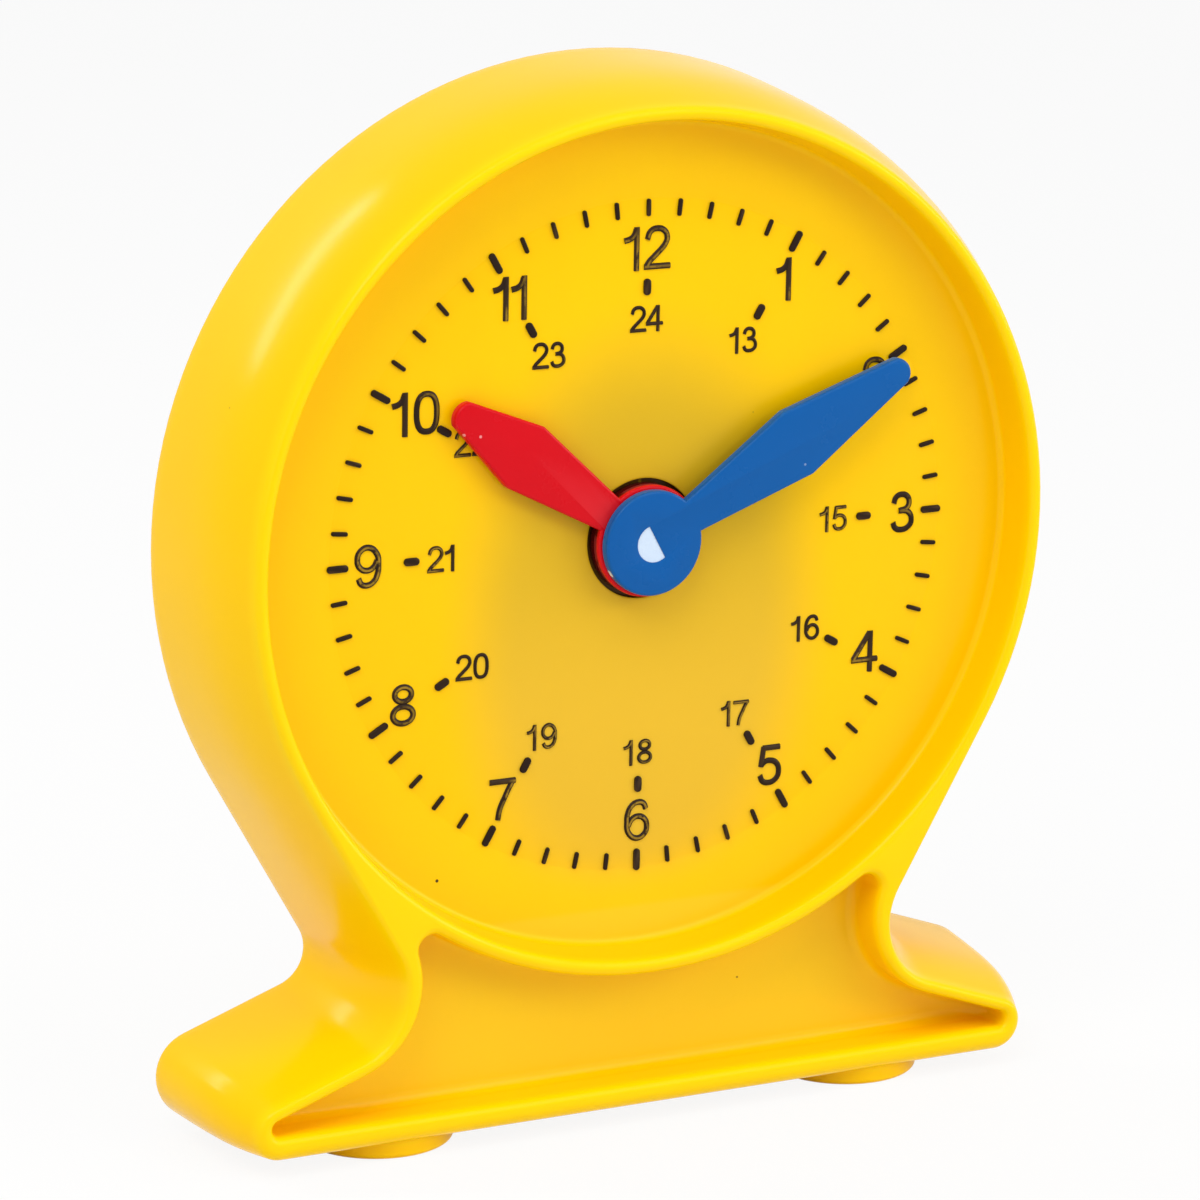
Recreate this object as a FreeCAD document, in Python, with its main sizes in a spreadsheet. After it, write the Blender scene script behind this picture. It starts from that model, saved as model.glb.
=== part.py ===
import FreeCAD, Part
import Sketcher
import math
import os

# Geared teaching clock: a yellow moulded case on two round feet, a back cover, two hands and
# the three-gear train that keeps the red hour hand in step with the blue minute hand.
# Millimetres. X to the right, Y from the front to the back, Z up, origin on the table under
# the middle of the case. Depths are measured backwards from the front edge of the rim.

os.makedirs("parts", exist_ok=True)
doc = FreeCAD.newDocument("TeachingClock")
sheet = doc.addObject("Spreadsheet::Sheet", "sizes")

SIZES = {
    # case, front outline
    "head_radius": 58.3, "waist_angle": 29.7, "waist_fillet": 9.3, "foot_angle": 19.5,
    "foot_reach": 57.9, "foot_tip": 6.6, "base_drop": 76.6,
    # case, how the outline grows from the front edge to the back edge
    "case_depth": 24.0, "crest_roll": 2.1, "wall_flare": 4.2, "base_flare": 0.8,
    # rim bead and dial
    "bead_width": 3.9, "bead_roll": 1.8, "wall_draft": 0.3, "cove_radius": 3.8,
    "dial_depth": 6.4,
    # pocket in the front of the base
    "waist_band": 3.2, "foot_band": 2.2, "end_band": 2.6, "base_band": 3.3,
    "pocket_corner": 2.0, "pocket_roll": 1.0, "roll_depth": 1.5, "pocket_cove": 1.5,
    "cove_reach": 4.2,
    # walls and the back cover
    "front_wall": 2.4, "side_wall": 2.6, "cover_lip": 1.2, "cover_thickness": 2.2,
    "cover_gap": 0.15,
    # cover screws and their bosses
    "screw_inset": 7.4, "screw_angle": 46.6, "screw_low_rise": 10.1, "screw_foot_gap": 8.6,
    "boss_radius": 3.4, "screw_shank": 1.3, "screw_length": 10.0, "screw_head": 2.8,
    "screw_head_height": 1.5, "screw_gap": 0.1,
    # feet
    "foot_radius": 10.5, "foot_height": 2.6, "foot_edge": 0.7, "foot_inset": 22.3,
    "foot_boss_rise": 0.3, "stem_radius": 3.0, "stem_length": 5.0, "stem_gap": 0.05,
    # raised marks on the dial
    "mark_height": 0.4, "mark_margin": 10.4, "minute_length": 2.3, "minute_width": 0.6,
    "hour_length": 3.0, "hour_width": 0.95, "ring_spacing": 10.45, "inner_length": 2.2,
    "inner_width": 1.05,
    # hands
    "hand_thickness": 1.35, "minute_angle": 61.3, "hour_angle": 305.1,
    "hand_root": 1.43, "hand_taper": 0.145,
    "minute_hub": 7.05, "minute_head": 16.95, "minute_tip_inset": 2.75, "minute_tip": 2.1,
    "hour_hub": 7.5, "hour_head": 9.6, "hour_tip_inset": 1.75, "hour_tip": 2.4,
    "hour_hand_depth": 4.3, "hand_gap": 0.2, "hand_edge": 0.25,
    # arbor, hour tube and their bearings
    "arbor_radius": 2.5, "tube_radius": 4.5, "running_gap": 0.05, "seat_gap": 0.02,
    "arbor_flat": 0.45, "hand_boss": 3.3, "hand_boss_length": 1.3, "arbor_recess": 0.12,
    "hub_sink": 0.7, "sink_gap": 0.55, "sink_depth": 1.0, "bearing_wall": 2.6,
    "bearing_height": 1.6, "end_gap": 0.2,
    # gears
    "gear_module": 0.8, "pressure_angle": 20.0, "backlash": 0.2, "addendum_share": 0.75,
    "dedendum_share": 1.2, "pinion_teeth": 15, "wheel_teeth": 45, "small_teeth": 12,
    "hour_teeth": 48, "gear_width_share": 0.268, "layer_gap_share": 0.09,
    "pinion_overlap": 0.3,
    "wheel_rim": 2.2, "web_thickness": 1.4, "hub_wall": 2.4, "hub_rise": 0.4,
    "train_angle": 180.0,
    # fixed pin of the intermediate gear, washers
    "stud_radius": 1.5, "stud_seat": 3.0, "stud_boss": 3.2,
    "washer_width": 2.3, "spring_thickness": 0.3, "spring_rise": 0.6, "washer_gap": 0.1,
    "cover_boss": 5.4,
    # how far a cutting tool runs past the surface that it cuts, and how close two points
    # are when they count as one
    "overrun": 1.0, "same_point": 0.002,
}

# Depths and places that follow from the sizes.
PLACES = {
    "half_depth": "case_depth / 2",
    "dial_height": "base_drop + foot_height",
    "dial_opening": "head_radius - bead_width",
    "mark_ring": "dial_opening - mark_margin",
    "inner_ring": "mark_ring - ring_spacing",
    "minute_tip_at": "mark_ring - minute_tip_inset",
    "minute_wide_at": "minute_tip_at - minute_head",
    "hour_tip_at": "inner_ring - hour_tip_inset",
    "hour_wide_at": "hour_tip_at - hour_head",
    "foot_spread": "foot_reach - foot_inset",
    "screw_high_x": "( head_radius - screw_inset ) * sin( screw_angle * 1deg )",
    "screw_high_z": "( head_radius - screw_inset ) * cos( screw_angle * 1deg )",
    "screw_low_x": "foot_spread - screw_foot_gap",
    "screw_low_z": "screw_low_rise - base_drop",
    "wall_back": "dial_depth + front_wall",
    "cover_front": "case_depth - cover_thickness",
    "hour_layer": "wall_back + bearing_height + end_gap",
    "gear_width": "( cover_front - hour_layer ) * gear_width_share",
    "layer_gap": "( cover_front - hour_layer ) * layer_gap_share",
    "hour_back": "hour_layer + gear_width",
    "wheel_layer": "hour_back + layer_gap",
    "wheel_back": "wheel_layer + gear_width",
    "pinion_front": "wheel_layer - pinion_overlap",
    "washer_thickness": "layer_gap - pinion_overlap - 2 * washer_gap",
    "pinion_back": "wheel_back + pinion_overlap",
    "arbor_stack": "pinion_back + spring_rise + spring_thickness + 2 * washer_gap",
    "arbor_end": "cover_front - end_gap",
    "stud_start": "wall_back + bearing_height - stud_seat",
    "stud_stack": "wheel_back + hub_rise + end_gap",
    "gear_distance": "gear_module * ( pinion_teeth + wheel_teeth ) / 2",
    "stud_x": "gear_distance * sin( train_angle * 1deg )",
    "stud_z": "gear_distance * cos( train_angle * 1deg )",
    "minute_hand_back": "hour_hand_depth - hand_gap",
    "minute_hand_front": "minute_hand_back - hand_thickness",
    "boss_end": "minute_hand_back + hand_boss_length",
    "tube_front": "boss_end + end_gap",
    "arbor_front": "minute_hand_front + arbor_recess",
    "hub_back": "dial_depth + hub_sink",
    "foot_disc": "foot_height - base_flare",
}
places = doc.addObject("Spreadsheet::Sheet", "places")


def full(text):
    """An expression with each size and place named together with its sheet."""
    words = []
    for word in text.split():
        owner = "sizes." if word in SIZES else "places." if word in PLACES else ""
        words.append(owner + word)
    return " ".join(words)


for row, (alias, value) in enumerate(SIZES.items(), start=1):
    sheet.set("A%d" % row, str(value))
    sheet.setAlias("A%d" % row, alias)
for row, (alias, formula) in enumerate(PLACES.items(), start=1):
    places.setAlias("A%d" % row, alias)
for row, (alias, formula) in enumerate(PLACES.items(), start=1):
    places.set("A%d" % row, "=" + full(formula).replace("places.", ""))
doc.recompute()


def size(alias):
    return float((sheet if alias in SIZES else places).get(alias))


# How much of the flare the side wall has at each share of the case depth: a soft bend
# behind the crest, then a nearly straight wall.
WALL_DEPTH_SHARES = (0.0, 0.18, 0.36, 0.56, 0.77, 1.0)
WALL_FLARE_SHARES = (-0.18, 0.27, 0.575, 0.765, 0.89, 1.0)
# How much of its quarter turn the rolled edge or the cove of the pocket has made at each
# section.
ROLL_SHARES = (0.0, 0.28, 0.61, 1.0)
COVE_SHARES = (0.0, 0.4, 0.7, 1.0)
# Where the flank of a gear tooth has its points, from its start to the tip.
FLANK_SHARES = (0.0, 0.4, 1.0)


def bind(thing, expressions):
    for name, text in expressions.items():
        thing.setExpression(name, full(text))


def place(thing):
    bind(thing, {"Placement.Base.y": "-1 * half_depth", "Placement.Base.z": "dial_height"})


def feature(label, shape):
    thing = doc.addObject("Part::Feature", label)
    thing.Shape = shape
    return thing


def combine(kind, label, pieces):
    thing = doc.addObject(kind, label)
    thing.Shapes = pieces
    return thing


def cut(label, base, tool):
    thing = doc.addObject("Part::Cut", label)
    thing.Base = base
    thing.Tool = tool
    return thing


def drum(label, radius, length, depth, x="0", z="0"):
    """A cylinder that lies along the depth of the clock."""
    thing = doc.addObject("Part::Cylinder", label)
    thing.Placement = FreeCAD.Placement(
        FreeCAD.Vector(0, 0, 0), FreeCAD.Rotation(FreeCAD.Vector(1, 0, 0), -90))
    bind(thing, {"Radius": radius, "Height": length, "Placement.Base.x": x,
                 "Placement.Base.y": depth, "Placement.Base.z": z})
    return thing


def post(label, radius, length, z, x, depth):
    """A cylinder that stands upright."""
    thing = doc.addObject("Part::Cylinder", label)
    bind(thing, {"Radius": radius, "Height": length, "Placement.Base.x": x,
                 "Placement.Base.y": depth, "Placement.Base.z": z})
    return thing


# Outlines. A side of the outline runs from the head down the waist, round the waist bend,
# out along the foot and round its tip to the flat base.

LEAN = math.radians(size("waist_angle"))
SLOPE = math.radians(size("foot_angle"))
WAIST_NORMAL = FreeCAD.Vector(math.cos(LEAN), 0, -math.sin(LEAN))
WAIST_RUN = FreeCAD.Vector(-math.sin(LEAN), 0, -math.cos(LEAN))
FOOT_NORMAL = FreeCAD.Vector(math.sin(SLOPE), 0, math.cos(SLOPE))
FOOT_LINE = (size("foot_reach") * math.sin(SLOPE)
             + (size("foot_tip") - size("base_drop")) * math.cos(SLOPE))


def unit(vector):
    return vector / vector.Length


def side_points(waist, foot, reach, base, bend):
    """Corner and middle points of one side: waist and foot are the distances of those
    lines from the dial centre, reach and base the outermost x and the lowest z."""
    across = WAIST_NORMAL.x * FOOT_NORMAL.z - WAIST_NORMAL.z * FOOT_NORMAL.x
    centre = FreeCAD.Vector(
        ((waist + bend) * FOOT_NORMAL.z - (foot + bend) * WAIST_NORMAL.z) / across, 0,
        ((foot + bend) * WAIST_NORMAL.x - (waist + bend) * FOOT_NORMAL.x) / across)
    tip = ((foot - FOOT_NORMAL.x * reach - FOOT_NORMAL.z * base)
           / (1 + FOOT_NORMAL.z - FOOT_NORMAL.x))
    end = FreeCAD.Vector(reach - tip, 0, base + tip)
    middle = -SLOPE / 2
    return [
        WAIST_NORMAL * waist,
        centre - WAIST_NORMAL * bend,
        centre - unit(WAIST_NORMAL + FOOT_NORMAL) * bend,
        centre - FOOT_NORMAL * bend,
        end + FOOT_NORMAL * tip,
        end + FreeCAD.Vector(math.cos(middle), 0, math.sin(middle)) * tip,
        end - FreeCAD.Vector(0, 0, tip),
    ]


def side_edges(points, depth, side):
    """The side as edges, down the left side or up the right side. It starts with the waist
    line, or with the bend where the points leave that line out."""
    moved = [FreeCAD.Vector(side * p.x, depth, p.z) for p in points]
    waist_end, bend, foot_start, foot_end, tip, base_end = moved[-6:]
    waist = moved[:-6]
    if side < 0:
        return [Part.makeLine(top, waist_end) for top in waist] + [
            Part.Arc(waist_end, bend, foot_start).toShape(),
            Part.makeLine(foot_start, foot_end),
            Part.Arc(foot_end, tip, base_end).toShape(),
        ]
    return [
        Part.Arc(base_end, tip, foot_end).toShape(),
        Part.makeLine(foot_end, foot_start),
        Part.Arc(foot_start, bend, waist_end).toShape(),
    ] + [Part.makeLine(waist_end, top) for top in waist]


def outline(depth, grow, base_grow):
    """The whole front outline, grown all round by grow and at the flat base by base_grow."""
    head = size("head_radius") + grow
    points = side_points(head, FOOT_LINE + grow, size("foot_reach") + grow,
                         -size("base_drop") - base_grow, size("waist_fillet") - grow)
    top, base_end = points[0], points[-1]
    head_arc = Part.Arc(
        FreeCAD.Vector(top.x, depth, top.z), FreeCAD.Vector(0, depth, head),
        FreeCAD.Vector(-top.x, depth, top.z)).toShape()
    base_line = Part.makeLine(
        FreeCAD.Vector(-base_end.x, depth, base_end.z),
        FreeCAD.Vector(base_end.x, depth, base_end.z))
    return Part.Wire([head_arc] + side_edges(points, depth, -1) + [base_line]
                     + side_edges(points, depth, 1))


def pocket_outline(depth, ring_grow, grow, end_grow):
    """The pocket in the front of the base, under the rim bead, grown by ring_grow towards
    the bead, by end_grow at the foot ends and by grow everywhere else. Each top corner is
    round and touches both the bead and the waist bend."""
    ring = size("head_radius") - ring_grow
    waist = size("head_radius") - size("waist_band") + grow
    bend = size("waist_fillet") + size("waist_band") - grow
    points = side_points(waist, FOOT_LINE - size("foot_band") + grow,
                         size("foot_reach") - size("end_band") + end_grow,
                         -size("base_drop") + size("base_band") - grow, bend)
    corner = size("pocket_corner") + grow
    foot_start = points[3]
    bend_centre = foot_start + FOOT_NORMAL * bend
    away = bend_centre.Length
    along = ((ring + corner) ** 2 - (bend + corner) ** 2 + away ** 2) / (2 * away)
    drop = math.sqrt((ring + corner) ** 2 - along ** 2)
    outward = unit(bend_centre)
    centre = outward * along + FreeCAD.Vector(outward.z, 0, -outward.x) * drop
    inward = unit(centre) * -1
    sideward = unit(bend_centre - centre)
    on_ring = centre + inward * corner
    on_corner = centre + unit(inward + sideward) * corner
    on_bend = centre + sideward * corner
    middle = unit(unit(on_bend - bend_centre) + unit(foot_start - bend_centre))
    points = [on_bend, bend_centre + middle * bend] + points[3:]
    base_end = points[-1]

    def put(p, side):
        return FreeCAD.Vector(side * p.x, depth, p.z)

    ring_arc = Part.Arc(put(on_ring, 1), FreeCAD.Vector(0, depth, -ring),
                        put(on_ring, -1)).toShape()
    left = Part.Arc(put(on_ring, -1), put(on_corner, -1), put(on_bend, -1)).toShape()
    right = Part.Arc(put(on_bend, 1), put(on_corner, 1), put(on_ring, 1)).toShape()
    base_line = Part.makeLine(put(base_end, -1), put(base_end, 1))
    return Part.Wire([ring_arc, left] + side_edges(points, depth, -1) + [base_line]
                     + side_edges(points, depth, 1) + [right])


def loft(label, wires, ruled=True):
    thing = doc.addObject("Part::Loft", label)
    thing.Sections = [feature("%s_section_%d" % (label, i), w) for i, w in enumerate(wires)]
    thing.Solid = True
    thing.Ruled = ruled
    return thing


def flare_at(share):
    """How far the wall has grown at a share of the case depth."""
    shares, flares = WALL_DEPTH_SHARES, WALL_FLARE_SHARES
    for a, b, low, high in zip(shares, shares[1:], flares, flares[1:]):
        if share <= b:
            return size("wall_flare") * (low + (high - low) * (share - a) / (b - a))
    return size("wall_flare")


# Case

def outer_form():
    """The wall as one smooth loft, with its front edge rounded into the crest."""
    wires = []
    for depth_share, flare_share in zip(WALL_DEPTH_SHARES, WALL_FLARE_SHARES):
        wires.append(outline(size("case_depth") * depth_share,
                             size("wall_flare") * flare_share,
                             size("base_flare") * flare_share))
    wall = loft("wall_form", wires, False)
    doc.recompute()
    rounded = doc.addObject("Part::Fillet", "outer_form")
    rounded.Base = wall
    rounded.Edges = [(number + 1, size("crest_roll"), size("crest_roll"))
                     for number, edge in enumerate(wall.Shape.Edges)
                     if abs(edge.BoundBox.YMax) < size("same_point")]
    return rounded


def dial_tool():
    """The round recess in front of the dial: rolled edge, short wall, cove, flat dial."""
    roll, cove = size("bead_roll"), size("cove_radius")
    opening, draft, floor = size("dial_opening"), size("wall_draft"), size("dial_depth")
    over = size("overrun")
    wall_end = floor - cove
    roll_centre = opening + roll
    foot = opening - draft
    turn = math.sqrt(0.5)
    start = FreeCAD.Vector(0, -over, 0)
    lip = FreeCAD.Vector(roll_centre, -over, 0)
    crest = FreeCAD.Vector(roll_centre, 0, 0)
    roll_middle = FreeCAD.Vector(roll_centre - roll * turn, roll - roll * turn, 0)
    roll_end = FreeCAD.Vector(opening, roll, 0)
    cove_start = FreeCAD.Vector(foot, wall_end, 0)
    cove_middle = FreeCAD.Vector(foot - cove + cove * turn, wall_end + cove * turn, 0)
    cove_end = FreeCAD.Vector(foot - cove, floor, 0)
    centre = FreeCAD.Vector(0, floor, 0)
    profile = Part.Wire([
        Part.makeLine(start, lip),
        Part.makeLine(lip, crest),
        Part.Arc(crest, roll_middle, roll_end).toShape(),
        Part.makeLine(roll_end, cove_start),
        Part.Arc(cove_start, cove_middle, cove_end).toShape(),
        Part.makeLine(cove_end, centre),
        Part.makeLine(centre, start),
    ])
    thing = doc.addObject("Part::Revolution", "dial_tool")
    thing.Source = feature("dial_profile", Part.Face(profile))
    thing.Axis = FreeCAD.Vector(0, 1, 0)
    thing.Angle = 360
    thing.Solid = True
    return thing


def pocket_tool():
    """The pocket with its rolled front edge and the cove round its floor."""
    ring_roll, roll, cove = size("bead_roll"), size("pocket_roll"), size("pocket_cove")
    wires = [pocket_outline(-size("overrun"), ring_roll, roll, roll)]
    for share in ROLL_SHARES:
        turn = share * math.pi / 2
        rest = 1 - math.sin(turn)
        wires.append(pocket_outline(size("roll_depth") * (1 - math.cos(turn)),
                                    ring_roll * rest, roll * rest, roll * rest))
    for share in COVE_SHARES:
        turn = share * math.pi / 2
        step = cove * (1 - math.cos(turn))
        wires.append(pocket_outline(size("dial_depth") - cove + cove * math.sin(turn),
                                    -step, -step, -step * size("cove_reach")))
    return loft("pocket_tool", wires)


def cavity_tool():
    front = size("dial_depth") + size("front_wall")
    back = size("case_depth") + size("overrun")
    wires = []
    for depth in (front, back):
        grow = flare_at(depth / size("case_depth")) - size("side_wall")
        wires.append(outline(depth, grow, -size("side_wall")))
    return loft("cavity_tool", wires)


def cover_outline(depth, gap):
    grow = size("wall_flare") - size("cover_lip") - gap
    return outline(depth, grow, size("base_flare") - size("cover_lip") - gap)


def rebate_tool():
    start = size("case_depth") - size("cover_thickness")
    wires = [cover_outline(start, 0), cover_outline(size("case_depth") + size("overrun"), 0)]
    return loft("rebate_tool", wires)


SCREWS = [(side + " * screw_%s_x" % level, "screw_%s_z" % level)
          for level in ("high", "low") for side in ("-1", "1")]


def make_case():
    shell = cut("case_shell", outer_form(), combine("Part::MultiFuse", "case_hollows", [
        dial_tool(), pocket_tool(), cavity_tool(), rebate_tool()]))
    added = [shell]
    removed = []
    for i, (x, z) in enumerate(SCREWS):
        added.append(drum("screw_boss_%d" % i, "boss_radius",
                          "cover_front - wall_back + overrun", "wall_back - overrun", x, z))
        removed.append(drum("screw_hole_%d" % i, "screw_shank + screw_gap", "screw_length",
                            "cover_front - screw_length + overrun", x, z))
    added.append(drum("bearing_ring", "tube_radius + running_gap + bearing_wall",
                      "bearing_height + front_wall / 2", "wall_back - front_wall / 2"))
    added.append(drum("stud_boss", "stud_boss", "bearing_height + front_wall / 2",
                      "wall_back - front_wall / 2", "stud_x", "stud_z"))
    removed.append(drum("hub_sink", "hour_hub + sink_gap", "sink_depth + overrun",
                        "dial_depth - overrun"))
    removed.append(drum("tube_bore", "tube_radius + running_gap",
                        "front_wall + bearing_height + 2 * overrun", "dial_depth - overrun"))
    removed.append(drum("stud_hole", "stud_radius + seat_gap", "stud_seat + overrun",
                        "stud_start", "stud_x", "stud_z"))
    for side, sign in (("left", "-1"), ("right", "1")):
        added.append(post("foot_boss_" + side, "foot_radius", "base_flare + foot_boss_rise",
                          "-1 * base_drop - base_flare", sign + " * foot_spread",
                          "half_depth"))
        removed.append(post("stem_hole_" + side, "stem_radius + stem_gap",
                            "overrun + stem_length + end_gap",
                            "-1 * base_drop - base_flare - overrun",
                            sign + " * foot_spread", "half_depth"))
    built = combine("Part::MultiFuse", "case_built", added)
    case = cut("case", built, combine("Part::MultiFuse", "case_holes", removed))
    place(case)
    return case


# Back cover and its screws

def make_back_cover():
    plate = loft("cover_plate", [cover_outline(size("cover_front"), size("cover_gap")),
                                 cover_outline(size("case_depth"), size("cover_gap"))])
    added = [plate]
    added.append(drum("arbor_boss", "cover_boss",
                      "cover_front - arbor_stack + cover_thickness / 2", "arbor_stack"))
    added.append(drum("stud_support", "stud_boss",
                      "cover_front - stud_stack + cover_thickness / 2", "stud_stack",
                      "stud_x", "stud_z"))
    removed = []
    removed.append(drum("arbor_hole", "arbor_radius + running_gap",
                        "cover_front - arbor_stack + overrun", "arbor_stack - overrun"))
    removed.append(drum("stud_socket", "stud_radius + running_gap",
                        "cover_front - stud_stack + overrun", "stud_stack - overrun",
                        "stud_x", "stud_z"))
    for i, (x, z) in enumerate(SCREWS):
        removed.append(drum("cover_hole_%d" % i, "screw_shank + screw_gap",
                            "cover_thickness + 2 * overrun", "cover_front - overrun", x, z))
        removed.append(screw_head("countersink_%d" % i, "screw_gap", x, z))
    built = combine("Part::MultiFuse", "cover_built", added)
    cover = cut("back_cover", built, combine("Part::MultiFuse", "cover_holes", removed))
    place(cover)
    return cover


def screw_head(label, gap, x, z):
    head = doc.addObject("Part::Cone", label)
    head.Placement = FreeCAD.Placement(
        FreeCAD.Vector(0, 0, 0), FreeCAD.Rotation(FreeCAD.Vector(1, 0, 0), -90))
    bind(head, {"Radius1": "screw_shank + " + gap, "Radius2": "screw_head + " + gap,
                "Height": "screw_head_height", "Placement.Base.x": x,
                "Placement.Base.y": "case_depth - screw_head_height", "Placement.Base.z": z})
    return head


def make_cover_screws():
    screws = []
    for i, (x, z) in enumerate(SCREWS):
        shank = drum("screw_shank_%d" % i, "screw_shank",
                     "screw_length - screw_head_height",
                     "case_depth - screw_length", x, z)
        screws.append(combine("Part::MultiFuse", "screw_%d" % i,
                              [screw_head("screw_head_%d" % i, "0", x, z), shank]))
    group = doc.addObject("Part::Compound", "cover_screws")
    group.Links = screws
    place(group)
    return group


# PartDesign bodies: sketches lie across the depth, with X to the right and Z up

def new_body(label, angle="0"):
    body = doc.addObject("PartDesign::Body", label)
    body.Placement = FreeCAD.Placement(
        FreeCAD.Vector(0, 0, 0), FreeCAD.Rotation(FreeCAD.Vector(0, 1, 0), 1))
    bind(body, {"Placement.Rotation.Angle": angle + " * 1deg"})
    place(body)
    return body


def origin_plane(body, role):
    return [f for f in body.Origin.OriginFeatures if f.Role == role][0]


def new_sketch(body, name, role, offset):
    sketch = body.newObject("Sketcher::SketchObject", name)
    sketch.AttachmentSupport = [(origin_plane(body, role), "")]
    sketch.MapMode = "FlatFace"
    bind(sketch, {"AttachmentOffset.Base.z": offset})
    return sketch


def constrain(sketch, name, text, *constraint):
    """A sketch size that is bound to the sheets."""
    number = sketch.addConstraint(Sketcher.Constraint(*constraint))
    sketch.renameConstraint(number, name)
    bind(sketch, {"Constraints." + name: text})


def circle(sketch, name, radius):
    edge = sketch.addGeometry(Part.Circle(FreeCAD.Vector(0, 0, 0), FreeCAD.Vector(0, 0, 1), 1))
    sketch.addConstraint(Sketcher.Constraint("Coincident", edge, 3, -1, 1))
    constrain(sketch, name, radius, "Radius", edge, 1)


def pad(body, name, sketch, length, backwards=True):
    thing = body.newObject("PartDesign::Pad", name)
    thing.Profile = sketch
    thing.Reversed = backwards
    bind(thing, {"Length": length})
    sketch.Visibility = False
    return thing


def disc(body, name, radius, start, length):
    sketch = new_sketch(body, name + "_outline", "XZ_Plane", "-1 * ( %s )" % start)
    circle(sketch, "radius", radius)
    return pad(body, name, sketch, length)


def bore(body, name, radius, start, length):
    """A round hole that runs backwards from its start."""
    sketch = new_sketch(body, name + "_outline", "XZ_Plane", "-1 * ( %s )" % start)
    circle(sketch, "radius", radius)
    thing = body.newObject("PartDesign::Pocket", name)
    thing.Profile = sketch
    bind(thing, {"Length": length})
    return thing


def round_edges(body, name, base, radius, wanted):
    """Rounds the edges of a feature that the test picks out."""
    doc.recompute()
    names = ["Edge%d" % (i + 1) for i, e in enumerate(base.Shape.Edges) if wanted(e)]
    thing = body.newObject("PartDesign::Fillet", name)
    thing.Base = (base, names)
    bind(thing, {"Radius": radius})
    return thing


# Hands

def blade(body, name, depth, wide_at, tip_at, tip):
    """The faceted blade: from the hub axis it widens evenly, then narrows to a round tip."""
    root, taper = size("hand_root"), size("hand_taper")
    half, end, radius = root + taper * size(wide_at), size(tip_at), size(tip)
    away = math.hypot(half, end - size(wide_at))
    turn = math.asin(radius / away) + math.atan2(half, end - size(wide_at))
    touch = FreeCAD.Vector(radius * math.cos(turn), end + radius * math.sin(turn), 0)
    origin = FreeCAD.Vector(0, 0, 0)
    right = [FreeCAD.Vector(root, 0, 0), FreeCAD.Vector(half, size(wide_at), 0), touch]
    left = [FreeCAD.Vector(-p.x, p.y, 0) for p in right]
    sketch = new_sketch(body, name + "_outline", "XZ_Plane", "-1 * " + depth)
    sketch.addGeometry(Part.LineSegment(left[0], right[0]))
    sketch.addGeometry(Part.LineSegment(right[0], right[1]))
    sketch.addGeometry(Part.LineSegment(right[1], right[2]))
    tip_circle = Part.Circle(FreeCAD.Vector(0, end, 0), FreeCAD.Vector(0, 0, 1), radius)
    sketch.addGeometry(Part.ArcOfCircle(tip_circle, turn, math.pi - turn))
    sketch.addGeometry(Part.LineSegment(left[2], left[1]))
    sketch.addGeometry(Part.LineSegment(left[1], left[0]))
    for kind in (
        ("Coincident", 0, 2, 1, 1), ("Coincident", 1, 2, 2, 1), ("Tangent", 2, 2, 3, 1),
        ("Tangent", 3, 2, 4, 1), ("Coincident", 4, 2, 5, 1), ("Coincident", 5, 2, 0, 1),
        ("Symmetric", 0, 1, 0, 2, -2), ("Symmetric", 1, 2, 4, 2, -2),
        ("PointOnObject", 0, 1, -1), ("PointOnObject", 3, 3, -2),
    ):
        sketch.addConstraint(Sketcher.Constraint(*kind))
    constrain(sketch, "root", "hand_root", "DistanceX", -1, 1, 0, 2, root)
    constrain(sketch, "half_width", "hand_root + hand_taper * " + wide_at,
              "DistanceX", -1, 1, 1, 2, half)
    constrain(sketch, "wide_at", wide_at, "DistanceY", -1, 1, 1, 2, size(wide_at))
    constrain(sketch, "tip_at", tip_at, "DistanceY", -1, 1, 3, 3, end)
    constrain(sketch, "tip", tip, "Radius", 3, radius)
    return pad(body, name, sketch, "hand_thickness")


def flat_circle(sketch, radius, flat):
    """A circle with one flat just above the centre, for the half-round end of the arbor
    and its hole in the hand. The flat faces the blade."""
    turn = math.asin(size("arbor_flat") / size("arbor_radius"))
    ring = Part.Circle(FreeCAD.Vector(0, 0, 0), FreeCAD.Vector(0, 0, 1), size("arbor_radius"))
    sketch.addGeometry(Part.ArcOfCircle(ring, math.pi - turn, 2 * math.pi + turn))
    reach = size("arbor_radius") * math.cos(turn)
    sketch.addGeometry(Part.LineSegment(FreeCAD.Vector(reach, size("arbor_flat"), 0),
                                        FreeCAD.Vector(-reach, size("arbor_flat"), 0)))
    sketch.addConstraint(Sketcher.Constraint("Coincident", 0, 3, -1, 1))
    sketch.addConstraint(Sketcher.Constraint("Coincident", 0, 2, 1, 1))
    sketch.addConstraint(Sketcher.Constraint("Coincident", 0, 1, 1, 2))
    sketch.addConstraint(Sketcher.Constraint("Horizontal", 1))
    constrain(sketch, "radius", radius, "Radius", 0, size("arbor_radius"))
    constrain(sketch, "flat", flat, "DistanceY", -1, 1, 1, 1, size("arbor_flat"))


def round_front(body, base, depth):
    """Rounds the outline of a hand's front face."""
    level = size(depth)

    def wanted(edge):
        away = max(abs(edge.BoundBox.YMin - level), abs(edge.BoundBox.YMax - level))
        return away < size("same_point")

    return round_edges(body, "rounded_front", base, "hand_edge", wanted)


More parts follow.
